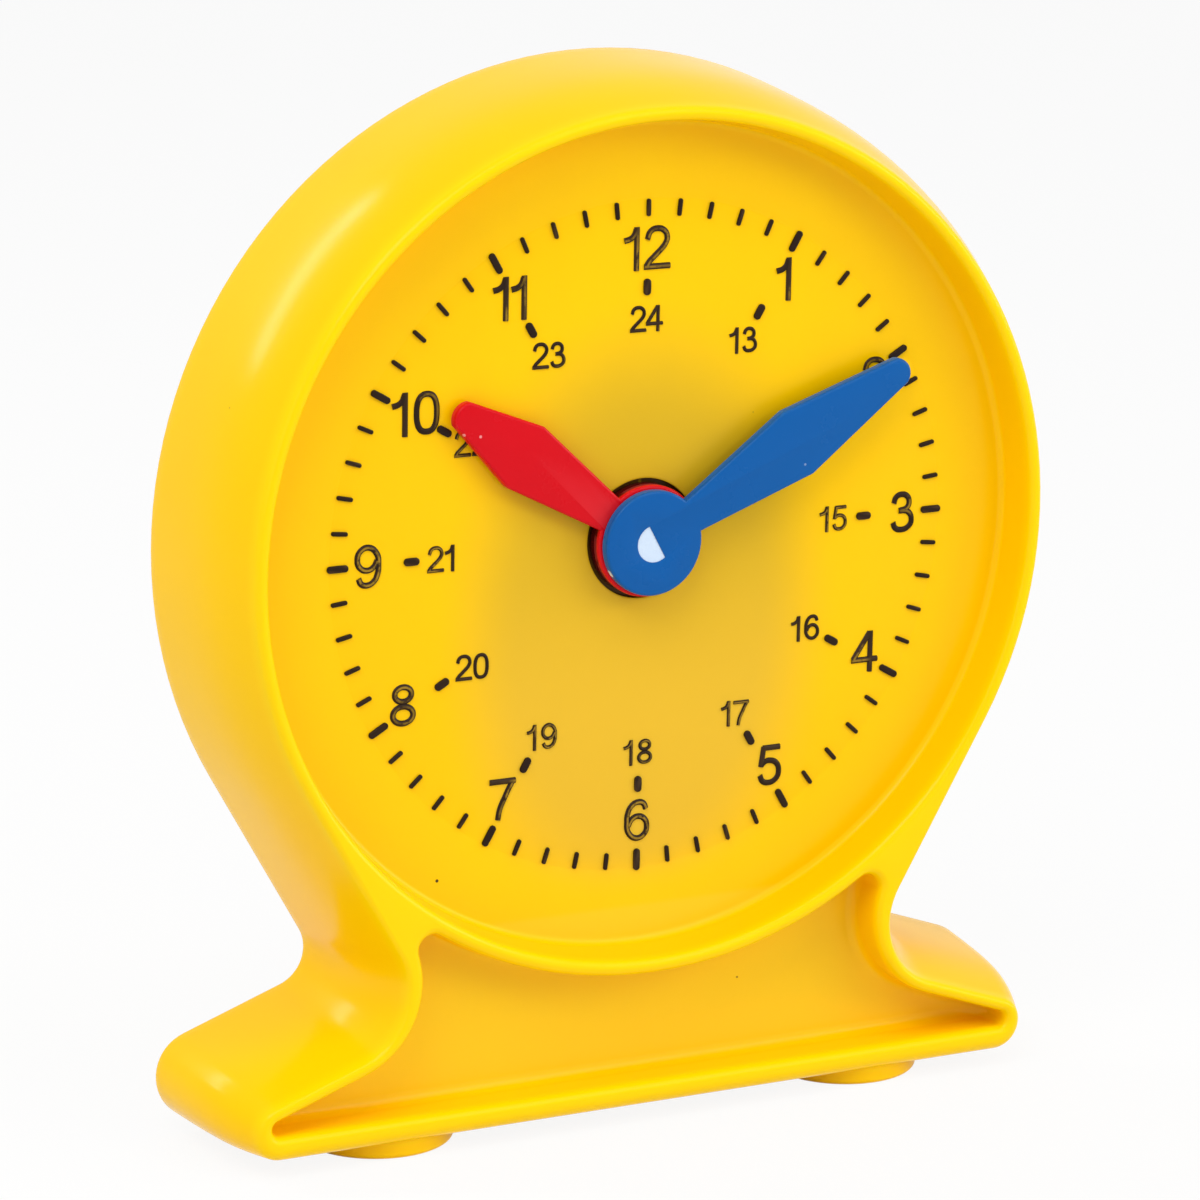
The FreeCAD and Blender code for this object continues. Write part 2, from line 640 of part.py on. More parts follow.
def make_hour_hand():
    body = new_body("hour_hand", "hour_angle")
    disc(body, "hour_hub", "hour_hub", "hour_hand_depth", "hub_back - hour_hand_depth")
    face = blade(body, "hour_blade", "hour_hand_depth", "hour_wide_at", "hour_tip_at",
                 "hour_tip")
    round_front(body, face, "hour_hand_depth")
    bore(body, "boss_opening", "hand_boss + washer_gap", "hour_hand_depth",
         "tube_front - hour_hand_depth")
    bore(body, "tube_socket", "tube_radius + seat_gap", "tube_front - seat_gap",
         "hub_back - tube_front + overrun")
    return body


def make_minute_hand():
    body = new_body("minute_hand", "minute_angle")
    disc(body, "minute_hub", "minute_hub", "minute_hand_front", "hand_thickness")
    face = blade(body, "minute_blade", "minute_hand_front", "minute_wide_at",
                 "minute_tip_at", "minute_tip")
    round_front(body, face, "minute_hand_front")
    disc(body, "minute_boss", "hand_boss", "minute_hand_front + hand_thickness / 2",
         "boss_end - minute_hand_front - hand_thickness / 2")
    sketch = new_sketch(body, "arbor_hole_outline", "XZ_Plane",
                        "-1 * ( minute_hand_front - overrun )")
    flat_circle(sketch, "arbor_radius + seat_gap", "arbor_flat + seat_gap")
    hole = body.newObject("PartDesign::Pocket", "arbor_hole")
    hole.Profile = sketch
    bind(hole, {"Length": "boss_end - minute_hand_front + 2 * overrun"})
    return body


# Gear train

def turned(radius, angle, depth):
    """The point at a radius and a clock angle."""
    return FreeCAD.Vector(radius * math.sin(angle), depth, radius * math.cos(angle))


def gear(teeth, depth, width, angle):
    """A spur gear with involute flanks; the middle of one tooth is at the clock angle."""
    module, pressure = size("gear_module"), math.radians(size("pressure_angle"))
    pitch = module * teeth / 2
    base = pitch * math.cos(pressure)
    tip = pitch + module * size("addendum_share")
    root = pitch - module * size("dedendum_share")
    at_pitch = math.pi / (2 * teeth) - size("backlash") / (4 * pitch)

    def half_angle(radius):
        pressure_here = math.acos(min(1.0, base / radius))
        return (at_pitch + math.tan(pressure) - pressure
                - math.tan(pressure_here) + pressure_here)

    start = max(base, root)
    flank = [start + (tip - start) * share for share in FLANK_SHARES]
    points = []
    for tooth in range(int(teeth)):
        middle = math.radians(angle) + tooth * 2 * math.pi / teeth
        points.append(turned(root, middle - half_angle(start), depth))
        points.extend(turned(r, middle - half_angle(r), depth) for r in flank)
        points.extend(turned(r, middle + half_angle(r), depth) for r in reversed(flank))
        points.append(turned(root, middle + half_angle(start), depth))
    outline_points = [points[0]]
    for p in points[1:]:
        if p.distanceToPoint(outline_points[-1]) > size("same_point"):
            outline_points.append(p)
    face = Part.Face(Part.makePolygon(outline_points + [points[0]]))
    return face.extrude(FreeCAD.Vector(0, width, 0))


def rod(radius, depth, length):
    return Part.makeCylinder(radius, length, FreeCAD.Vector(0, depth, 0),
                             FreeCAD.Vector(0, 1, 0))


def web_recess(teeth, hub, depth):
    """The ring that is left out between a wheel's hub and its rim, over one face."""
    rim = (size("gear_module") * (teeth / 2 - size("dedendum_share")) - size("wheel_rim"))
    deep = size("gear_width") - size("web_thickness")
    return rod(rim, depth, deep).cut(rod(hub, depth, deep))


def make_minute_pinion():
    width = size("pinion_back") - size("pinion_front")
    shape = gear(size("pinion_teeth"), size("pinion_front"), width, size("train_angle"))
    hole = rod(size("arbor_radius") + size("seat_gap"), size("pinion_front"), width)
    thing = feature("minute_pinion", shape.cut(hole))
    place(thing)
    return thing


def make_intermediate_gear():
    teeth = size("wheel_teeth")
    bore_radius = size("stud_radius") + size("running_gap")
    hub = bore_radius + size("hub_wall")
    start, back = size("hour_layer"), size("wheel_back") + size("hub_rise")
    back_to_dial = size("train_angle") + 180
    wheel = gear(teeth, size("wheel_layer"), size("gear_width"), back_to_dial + 180 / teeth)
    recess_depth = size("wheel_back") - size("gear_width") + size("web_thickness")
    shape = wheel.cut(web_recess(teeth, hub, recess_depth))
    small = gear(size("small_teeth"), start, size("wheel_layer") - start, back_to_dial)
    shape = shape.fuse([small, rod(hub, size("wheel_layer"), back - size("wheel_layer"))])
    thing = feature("intermediate_gear", shape.cut(rod(bore_radius, start, back - start)))
    thing.setExpression("Placement.Base.x", full("stud_x"))
    bind(thing, {"Placement.Base.y": "-1 * half_depth",
                 "Placement.Base.z": "dial_height + stud_z"})
    return thing


def make_hour_wheel():
    teeth, start = size("hour_teeth"), size("hour_layer")
    hub = size("tube_radius") + size("bearing_wall")
    wheel = gear(teeth, start, size("gear_width"), size("train_angle") + 180 / teeth)
    recess_depth = size("hour_back") - size("gear_width") + size("web_thickness")
    shape = wheel.cut(web_recess(teeth, hub, recess_depth))
    shape = shape.fuse(rod(size("tube_radius"), size("tube_front"),
                           start + size("web_thickness") - size("tube_front")))
    hole = rod(size("arbor_radius") + size("running_gap"), size("tube_front"),
               size("hour_back") - size("tube_front"))
    thing = feature("hour_wheel", shape.cut(hole))
    place(thing)
    return thing


# Arbor, fixed pin and washers

def make_minute_arbor():
    body = new_body("minute_arbor", "minute_angle")
    sketch = new_sketch(body, "flat_end_outline", "XZ_Plane", "-1 * arbor_front")
    flat_circle(sketch, "arbor_radius", "arbor_flat")
    pad(body, "flat_end", sketch, "boss_end - arbor_front")
    disc(body, "arbor_rod", "arbor_radius", "boss_end", "arbor_end - boss_end")
    return body


def make_intermediate_stud():
    body = new_body("intermediate_stud")
    disc(body, "pin", "stud_radius", "stud_start", "arbor_end - stud_start")
    bind(body, {"Placement.Base.x": "stud_x", "Placement.Base.z": "dial_height + stud_z"})
    return body


def make_spacer_washer():
    body = new_body("spacer_washer")
    start = "hour_back + washer_gap"
    disc(body, "ring", "arbor_radius + washer_width", start, "washer_thickness")
    bore(body, "ring_hole", "arbor_radius + running_gap", start + " - overrun",
         "washer_thickness + 2 * overrun")
    return body


def make_spring_washer():
    inner = size("arbor_radius") + size("running_gap")
    outer = inner + size("washer_width")
    start, thick = size("pinion_back") + size("washer_gap"), size("spring_thickness")
    rise = size("spring_rise")
    corners = [FreeCAD.Vector(inner, start, 0), FreeCAD.Vector(outer, start + rise, 0),
               FreeCAD.Vector(outer, start + rise + thick, 0),
               FreeCAD.Vector(inner, start + thick, 0)]
    face = Part.Face(Part.makePolygon(corners + [corners[0]]))
    thing = doc.addObject("Part::Revolution", "spring_washer")
    thing.Source = feature("spring_profile", face)
    thing.Axis = FreeCAD.Vector(0, 1, 0)
    thing.Angle = 360
    thing.Solid = True
    place(thing)
    return thing


# Feet

def make_foot(side, sign):
    body = doc.addObject("PartDesign::Body", side + "_foot")
    bind(body, {"Placement.Base.x": sign + " * foot_spread"})
    sketch = new_sketch(body, "disc_outline", "XY_Plane", "0")
    circle(sketch, "radius", "foot_radius")
    base = pad(body, "foot_disc", sketch, "foot_disc", False)
    round_edges(body, "worn_edge", base, "foot_edge",
                lambda edge: edge.BoundBox.ZMax < size("same_point"))
    sketch = new_sketch(body, "stem_outline", "XY_Plane", "foot_disc")
    circle(sketch, "radius", "stem_radius")
    pad(body, "stem", sketch, "stem_length", False)
    return body


# Raised marks on the dial

def marks(label, angles, ring, length, width):
    """Round-ended bars that point at the dial centre."""
    half, reach = width / 2, (length - width) / 2
    low, high = ring - reach, ring + reach
    depth = size("dial_depth") - size("mark_height")
    corners = [FreeCAD.Vector(x, depth, z) for x, z in
               ((-half, low), (0, low - half), (half, low), (half, high),
                (0, high + half), (-half, high))]
    wire = Part.Wire([
        Part.Arc(corners[0], corners[1], corners[2]).toShape(),
        Part.makeLine(corners[2], corners[3]),
        Part.Arc(corners[3], corners[4], corners[5]).toShape(),
        Part.makeLine(corners[5], corners[0]),
    ])
    bar = Part.Face(wire).extrude(FreeCAD.Vector(0, size("mark_height"), 0))
    bars = []
    for angle in angles:
        copy = bar.copy()
        copy.rotate(FreeCAD.Vector(0, 0, 0), FreeCAD.Vector(0, 1, 0), angle)
        bars.append(copy)
    thing = feature(label, Part.makeCompound(bars))
    place(thing)
    return thing


def make_marks():
    minutes = [6 * i for i in range(60) if i == 0 or i % 5]
    hours = [30 * i for i in range(1, 12)]
    return [
        marks("minute_marks", minutes, size("mark_ring"), size("minute_length"),
              size("minute_width")),
        marks("hour_marks", hours, size("mark_ring"), size("hour_length"),
              size("hour_width")),
        marks("inner_hour_marks", [0] + hours, size("inner_ring"), size("inner_length"),
              size("inner_width")),
    ]


NODES = [
    make_case(), make_back_cover(), make_cover_screws(),
    make_foot("left", "-1"), make_foot("right", "1"),
    make_hour_hand(), make_hour_wheel(),
    make_minute_hand(), make_minute_arbor(), make_minute_pinion(), make_spacer_washer(),
    make_spring_washer(), make_intermediate_gear(), make_intermediate_stud(),
] + make_marks()
doc.recompute()

for thing in doc.Objects:
    if "Invalid" in thing.State or "Error" in thing.State:
        raise RuntimeError("failed: " + thing.Label)
for node in NODES:
    if node.Shape.isNull() or not node.Shape.isValid() or not node.Shape.Solids:
        raise RuntimeError("bad shape: " + node.Label)

for node in NODES:
    node.Shape.exportStep("parts/%s.step" % node.Label)
    print(node.Label, len(node.Shape.Solids), round(node.Shape.Volume, 1))
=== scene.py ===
import math
import bpy
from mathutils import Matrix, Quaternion, Vector


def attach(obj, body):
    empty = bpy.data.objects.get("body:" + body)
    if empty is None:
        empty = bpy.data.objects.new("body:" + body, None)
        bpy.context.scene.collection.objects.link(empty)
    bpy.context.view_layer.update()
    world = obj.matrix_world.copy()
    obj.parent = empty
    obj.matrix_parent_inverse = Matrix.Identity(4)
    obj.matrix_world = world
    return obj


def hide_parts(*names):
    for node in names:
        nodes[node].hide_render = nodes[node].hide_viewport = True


# Geared teaching clock: yellow moulded case, red and blue hands, raised dark figures.
# Pieces are modelled in millimetres about the dial centre, x right, y to the back, z up,
# with y 0 on the front of the rim. settlePiece then puts them on the frame in metres.

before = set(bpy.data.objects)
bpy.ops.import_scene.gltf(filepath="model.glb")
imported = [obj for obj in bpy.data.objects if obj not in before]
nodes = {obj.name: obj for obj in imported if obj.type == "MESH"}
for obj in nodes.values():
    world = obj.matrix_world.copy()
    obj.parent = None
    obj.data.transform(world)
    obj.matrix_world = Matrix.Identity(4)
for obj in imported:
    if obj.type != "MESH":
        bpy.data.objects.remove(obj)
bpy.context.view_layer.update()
print("frame loaded with", len(nodes), "CAD nodes")


# working by operator

def clearSelection():
    if bpy.context.object and bpy.context.object.mode != "OBJECT":
        bpy.ops.object.mode_set(mode="OBJECT")
    bpy.ops.object.select_all(action="DESELECT")


def makeActive(*pieces):
    clearSelection()
    for piece in pieces:
        piece.select_set(True)
    bpy.context.view_layer.objects.active = pieces[0]
    return pieces[0]


def startEdit(piece, kind):
    makeActive(piece)
    bpy.ops.object.mode_set(mode="EDIT")
    bpy.ops.mesh.select_mode(type=kind)
    bpy.ops.mesh.select_all(action="DESELECT")
    bpy.ops.object.mode_set(mode="OBJECT")


def pickEdges(piece, test):
    # leaves the piece in edit mode with the edges selected whose two ends pass the test
    startEdit(piece, "EDGE")
    places = [v.co for v in piece.data.vertices]
    for edge in piece.data.edges:
        edge.select = test(places[edge.vertices[0]], places[edge.vertices[1]])
    bpy.ops.object.mode_set(mode="EDIT")


def pickFaces(piece, test):
    startEdit(piece, "FACE")
    for face in piece.data.polygons:
        face.select = test(face.center, face.normal)
    bpy.ops.object.mode_set(mode="EDIT")


def leaveEdit():
    bpy.ops.object.mode_set(mode="OBJECT")


def joinPieces(pieces, name):
    first = makeActive(*pieces)
    if len(pieces) > 1:
        bpy.ops.object.join()
    first.name = name
    return first


def placeInMesh():
    bpy.ops.object.transform_apply(location=True, rotation=True, scale=True)


def copyPiece(piece, place, turn=0.0, scale=(1, 1, 1)):
    # a copy with its own mesh, turned about its depth axis
    twin = piece.copy()
    twin.data = piece.data.copy()
    bpy.context.scene.collection.objects.link(twin)
    twin.location, twin.scale = place, scale
    twin.rotation_euler = (0, math.radians(turn), 0)
    return twin


def joinCopies(copies, name):
    makeActive(*copies)
    placeInMesh()
    return joinPieces(copies, name)


def mergeAndFace(piece, gap=0.0005):
    # doubles merged first, then all faces turned outwards
    makeActive(piece)
    bpy.ops.object.mode_set(mode="EDIT")
    bpy.ops.mesh.select_all(action="SELECT")
    bpy.ops.mesh.remove_doubles(threshold=gap)
    bpy.ops.mesh.normals_make_consistent(inside=False)
    leaveEdit()


def settlePiece(piece, body, look, smoothAngle=40):
    makeActive(piece)
    piece.scale = (0.001, 0.001, 0.001)
    piece.location = (0, -0.012, 0.0792)
    placeInMesh()
    bpy.ops.object.shade_smooth_by_angle(angle=math.radians(smoothAngle))
    piece.data.materials.clear()
    piece.data.materials.append(look)
    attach(piece, body)
    return piece


def curveHandles(start, end, centre):
    # handles of one span: straight, or round the centre
    if centre is None:
        return start.lerp(end, 1 / 3), end.lerp(start, 1 / 3)
    a, b = start - centre, end - centre
    turn = math.atan2(a.x * b.y - a.y * b.x, a.dot(b))
    reach = math.tan(turn / 4) * 4 / 3
    return start + Vector((-a.y, a.x)) * reach, end - Vector((-b.y, b.x)) * reach


def startLine(name, kind, count):
    bpy.ops.curve.primitive_bezier_curve_add(location=(0, 0, 0))
    line = bpy.context.object
    line.name = name
    line.data.splines.clear()
    spline = line.data.splines.new(kind)
    points = spline.points if kind == "POLY" else spline.bezier_points
    points.add(count - 1)
    return line, spline


def meshFromLine(line):
    makeActive(line)
    bpy.ops.object.convert(target="MESH")
    return bpy.context.object


def drawOutline(name, depth, corners, steps):
    # closed line through (point, centre of the span that follows), as mesh edges
    line, spline = startLine(name, "BEZIER", len(corners))
    line.data.resolution_u = steps
    spline.use_cyclic_u = True
    for i, (start, centre) in enumerate(corners):
        following = (i + 1) % len(corners)
        end = corners[following][0]
        near, far = curveHandles(start, end, centre)
        here, there = spline.bezier_points[i], spline.bezier_points[following]
        here.handle_right_type = there.handle_left_type = "FREE"
        here.co = (start.x, depth, start.y)
        here.handle_right = (near.x, depth, near.y)
        there.handle_left = (far.x, depth, far.y)
    return meshFromLine(line)


def drawProfile(name, points):
    # open line in the plane x = 0, given as (distance from the axis, depth)
    line, spline = startLine(name, "POLY", len(points))
    for spot, (away, depth) in zip(spline.points, points):
        spot.co = (0, depth, away, 1)
    return meshFromLine(line)


def spinProfile(piece, steps, x=0, z=0):
    makeActive(piece)
    bpy.ops.object.mode_set(mode="EDIT")
    bpy.ops.mesh.select_all(action="SELECT")
    bpy.ops.mesh.spin(steps=steps, angle=math.tau, center=(x, 0, z), axis=(0, 1, 0))
    bpy.ops.mesh.select_all(action="SELECT")
    bpy.ops.mesh.remove_doubles(threshold=0.0005)
    leaveEdit()
    return piece


def arcPoints(centreAway, centreDepth, radius, fromAngle, toAngle, steps):
    # points of a round corner in a profile; 0 degrees is away from the axis, 90 backwards
    points = []
    for i in range(steps + 1):
        angle = math.radians(fromAngle + (toAngle - fromAngle) * i / steps)
        points.append((centreAway + radius * math.cos(angle),
                       centreDepth + radius * math.sin(angle)))
    return points


# shader node groups shared by the finishes

def newGroup(name, inputs, outputs):
    group = bpy.data.node_groups.new(name, "ShaderNodeTree")
    for side, sockets in (("INPUT", inputs), ("OUTPUT", outputs)):
        for label, kind in sockets:
            group.interface.new_socket(name=label, in_out=side,
                                       socket_type="NodeSocket" + kind)
    start = group.nodes.new("NodeGroupInput")
    end = group.nodes.new("NodeGroupOutput")
    return group, start.outputs, end.inputs


def addNode(tree, kind, links=None, **values):
    # a node with its settings, its input values, and links from other sockets
    node = tree.nodes.new(kind)
    for name, value in values.items():
        setattr(node, name, value)
    for label, source in (links or {}).items():
        socket = node.inputs[label]
        if isinstance(source, bpy.types.NodeSocket):
            tree.links.new(source, socket)
        elif socket.type == "RGBA":
            socket.default_value = tuple(source) + (1,)
        else:
            socket.default_value = source
    return node


def placeGroup(tree, group, links):
    return addNode(tree, "ShaderNodeGroup", links, node_tree=group)


def mixTone(group, share, low, high):
    return addNode(group, "ShaderNodeMix", {"Factor": share, 6: low, 7: high},
                   data_type="RGBA").outputs[2]


def smoothShare(group, value, low, high, toLow=0.0, toHigh=1.0):
    # value from low to high gives a soft share from toLow to toHigh
    return addNode(group, "ShaderNodeMapRange", {
        "Value": value, "From Min": low, "From Max": high, "To Min": toLow,
        "To Max": toHigh}, interpolation_type="SMOOTHSTEP").outputs[0]


def calculate(tree, operation, *values):
    return addNode(tree, "ShaderNodeMath", dict(enumerate(values)),
                   operation=operation).outputs[0]


def multiply(tree, one, other):
    return calculate(tree, "MULTIPLY", one, other)


def noise(tree, vector, scale, detail, **more):
    return addNode(tree, "ShaderNodeTexNoise", {
        "Vector": vector, "Scale": scale, "Detail": detail, **more}).outputs["Fac"]


def makeMouldedSkin():
    # injection moulded plastic: slow drift in tone, faint flow lines, fine skin
    group, given, result = newGroup("mouldedSkin", [
        ("Vector", "Vector"), ("Colour", "Color"),
        ("Deep Colour", "Color"), ("Drift", "Float"),
        ("Gloss", "Float"), ("Gloss Range", "Float"),
        ("Grain", "Float"),
    ], [("Colour", "Color"), ("Roughness", "Float"),
        ("Height", "Float")])
    cloud = noise(group, given["Vector"], 26.0, 3.0, Roughness=0.5)
    stretch = addNode(group, "ShaderNodeMapping", {"Vector": given["Vector"],
                      "Scale": (60.0, 60.0, 9.0)})
    flow = noise(group, stretch.outputs["Vector"], 1.0, 4.0, Distortion=0.6)
    mixed = multiply(group, cloud, flow)
    spread = addNode(group, "ShaderNodeMapRange", {"Value": mixed,
                     "From Min": 0.12, "From Max": 0.42})
    share = multiply(group, spread.outputs[0], given["Drift"])
    tone = mixTone(group, share, given["Colour"], given["Deep Colour"])
    fine = noise(group, given["Vector"], given["Grain"], 2.0)
    worn = noise(group, given["Vector"], 90.0, 5.0, Roughness=0.65)
    dull = calculate(group, "SUBTRACT", worn, 0.5)
    rough = calculate(group, "MULTIPLY_ADD", dull, given["Gloss Range"], given["Gloss"])
    height = calculate(group, "MULTIPLY_ADD", cloud, 3.0, fine)
    group.links.new(tone, result["Colour"])
    group.links.new(rough, result["Roughness"])
    group.links.new(height, result["Height"])
    return group


def makeDustSpecks():
    # sparse tiny flecks of dust and dark specks caught in the moulding
    group, given, result = newGroup("dustSpecks", [
        ("Vector", "Vector"), ("Colour", "Color"),
        ("Speck Colour", "Color"), ("Spacing", "Float"),
        ("Size", "Float"), ("Amount", "Float"),
    ], [("Colour", "Color"), ("Mask", "Float")])
    cells = addNode(group, "ShaderNodeTexVoronoi", {"Vector": given["Vector"],
                    "Scale": given["Spacing"]})
    spots = calculate(group, "LESS_THAN", cells.outputs["Distance"], given["Size"])
    patches = noise(group, given["Vector"], 60.0, 1.0)
    some = calculate(group, "GREATER_THAN", patches, 0.56)
    both = multiply(group, spots, some)
    shown = multiply(group, both, given["Amount"])
    tone = mixTone(group, shown, given["Colour"], given["Speck Colour"])
    group.links.new(tone, result["Colour"])
    group.links.new(shown, result["Mask"])
    return group


def makeEdgeRubAndHighlight():
    # edges a little paler and duller than the rest: edge wear, and on the hands mainly a
    # painted highlight along the bevelled edges
    group, given, result = newGroup("edgeRubAndHighlight", [
        ("Colour", "Color"), ("Rubbed And Highlight Colour", "Color"),
        ("Roughness", "Float"), ("From", "Float"),
        ("To", "Float"), ("Amount", "Float"),
    ], [("Colour", "Color"), ("Roughness", "Float"),
        ("Mask", "Float")])
    shape = addNode(group, "ShaderNodeNewGeometry")
    band = addNode(group, "ShaderNodeMapRange", {"Value": shape.outputs["Pointiness"],
                   "From Min": given["From"], "From Max": given["To"]})
    mask = multiply(group, band.outputs[0], given["Amount"])
    tone = mixTone(group, mask, given["Colour"], given["Rubbed And Highlight Colour"])
    rough = calculate(group, "MULTIPLY_ADD", mask, 0.12, given["Roughness"])
    group.links.new(tone, result["Colour"])
    group.links.new(rough, result["Roughness"])
    group.links.new(mask, result["Mask"])
    return group


def makeSpotMask():
    # soft oval spot about a point, with its own width, depth and height
    group, given, result = newGroup("spotMask", [
        ("Vector", "Vector"), ("Centre", "Vector"),
        ("Reach", "Vector"),
        ("From", "Float"), ("To", "Float"),
        ("Ragged", "Float"),
    ], [("Mask", "Float")])
    away = addNode(group, "ShaderNodeVectorMath", {0: given["Vector"],
                   1: given["Centre"]}, operation="SUBTRACT")
    scaled = addNode(group, "ShaderNodeVectorMath", {0: away.outputs[0],
                     1: given["Reach"]}, operation="DIVIDE")
    length = addNode(group, "ShaderNodeVectorMath", {0: scaled.outputs[0]},
                     operation="LENGTH")
    rough = noise(group, given["Vector"], 1400.0, 2.0)
    torn = calculate(group, "MULTIPLY_ADD", rough, given["Ragged"],
                     length.outputs["Value"])
    share = smoothShare(group, torn, given["From"], given["To"], 1.0, 0.0)
    group.links.new(share, result["Mask"])
    return group


paintedLightForm = {  # where each painted highlight and painted shade of the case starts and ends, in metres
    "facingFront": (-0.95, -0.7), "rimDepth": (-0.0118, -0.0096),
    "dialHeight": 0.0792, "dialRadius": (0.042, 0.050),
    "shadeCentre": (0.0, -0.0056, 0.0672), "shadeReach": (0.0265, 0.03, 0.040),
    "shadeFade": (0.66, 1.16), "shadeHeight": (0.052, 0.088),
    "sinkRadius": (0.0081, 0.0083), "sinkDepth": (-0.0056, -0.0053),
    "pocketHeight": (0.0283, 0.0293), "pocketDepth": (-0.0075, -0.0060),
}


def makeCasePaintedLight():
    # painted light on the case: a brighter rim as a painted highlight, a darker, duller
    # patch over the dial centre as painted shade, and painted shade in the hub sink and
    # on the pocket floor
    form = paintedLightForm
    group, given, result = newGroup("casePaintedLight", [
        ("Vector", "Vector"), ("Normal", "Vector"),
        ("Colour", "Color"), ("Rim Highlight Colour", "Color"),
        ("Upper Painted Shade", "Color"), ("Lower Painted Shade", "Color"),
        ("Sink Shade Colour", "Color"), ("Pocket Shade Colour", "Color"),
    ], [("Colour", "Color")])
    place = addNode(group, "ShaderNodeSeparateXYZ", {0: given["Vector"]})
    facing = addNode(group, "ShaderNodeSeparateXYZ", {0: given["Normal"]})
    front = smoothShare(group, facing.outputs["Y"], *form["facingFront"], 1.0, 0.0)
    depth, height = place.outputs["Y"], place.outputs["Z"]
    # painted highlight: brighter yellow on the front of the rim
    rim = smoothShare(group, depth, *form["rimDepth"], 1.0, 0.0)
    flat = addNode(group, "ShaderNodeMapping", {"Vector": given["Vector"],
                   "Location": (0, 0, -form["dialHeight"]), "Scale": (1, 0, 1)})
    radius = addNode(group, "ShaderNodeVectorMath", {0: flat.outputs[0]},
                     operation="LENGTH").outputs["Value"]
    # painted shade: a darker, duller patch over the dial centre, darker towards the top
    inside = smoothShare(group, radius, *form["dialRadius"], 1.0, 0.0)
    spot = placeGroup(group, spotMask, {
        "Vector": given["Vector"], "Centre": form["shadeCentre"],
        "Reach": form["shadeReach"], "From": form["shadeFade"][0],
        "To": form["shadeFade"][1]})
    onDial = multiply(group, multiply(group, front, inside), spot.outputs["Mask"])
    dull = mixTone(group, smoothShare(group, height, *form["shadeHeight"]),
                   given["Lower Painted Shade"], given["Upper Painted Shade"])
    # painted shade: dark brown in the hub sink round the hour hand
    sink = multiply(group, smoothShare(group, radius, *form["sinkRadius"], 1.0, 0.0),
                    smoothShare(group, depth, *form["sinkDepth"]))
    # painted shade: a duller tone on the pocket floor
    low = multiply(group, smoothShare(group, height, *form["pocketHeight"], 1.0, 0.0),
                   smoothShare(group, depth, *form["pocketDepth"]))
    pocket = multiply(group, front, low)
    tone = mixTone(group, rim, given["Colour"], given["Rim Highlight Colour"])
    tone = mixTone(group, onDial, tone, dull)
    tone = mixTone(group, pocket, tone, given["Pocket Shade Colour"])
    tone = mixTone(group, sink, tone, given["Sink Shade Colour"])
    group.links.new(tone, result["Colour"])
    return group


def makeFoilWearAndHighlight():
    # dark foil on the raised figures; in patches along the top of a stroke a paler khaki:
    # painted highlight, partly foil worn through
    group, given, result = newGroup("foilWearAndHighlight", [
        ("Vector", "Vector"), ("Normal", "Vector"),
        ("Colour", "Color"), ("Bare And Highlight Colour", "Color"),
        ("Amount", "Float"),
    ], [("Colour", "Color"), ("Mask", "Float")])
    facing = addNode(group, "ShaderNodeSeparateXYZ", {0: given["Normal"]})
    top = smoothShare(group, facing.outputs["Y"], -0.985, -0.90, 1.0, 0.0)
    cloud = noise(group, given["Vector"], 120.0, 2.0)
    patches = smoothShare(group, cloud, 0.46, 0.58)
    fine = noise(group, given["Vector"], 1600.0, 3.0)
    flecks = smoothShare(group, fine, 0.30, 0.55)
    bareAndHighlight = multiply(group, multiply(group, top, patches),
                    multiply(group, flecks, given["Amount"]))
    tone = mixTone(group, bareAndHighlight, given["Colour"], given["Bare And Highlight Colour"])
    group.links.new(tone, result["Colour"])
    group.links.new(bareAndHighlight, result["Mask"])
    return group


mouldedSkin = makeMouldedSkin()
dustSpecks = makeDustSpecks()
edgeRubAndHighlight = makeEdgeRubAndHighlight()
spotMask = makeSpotMask()
casePaintedLight = makeCasePaintedLight()
foilWearAndHighlight = makeFoilWearAndHighlight()


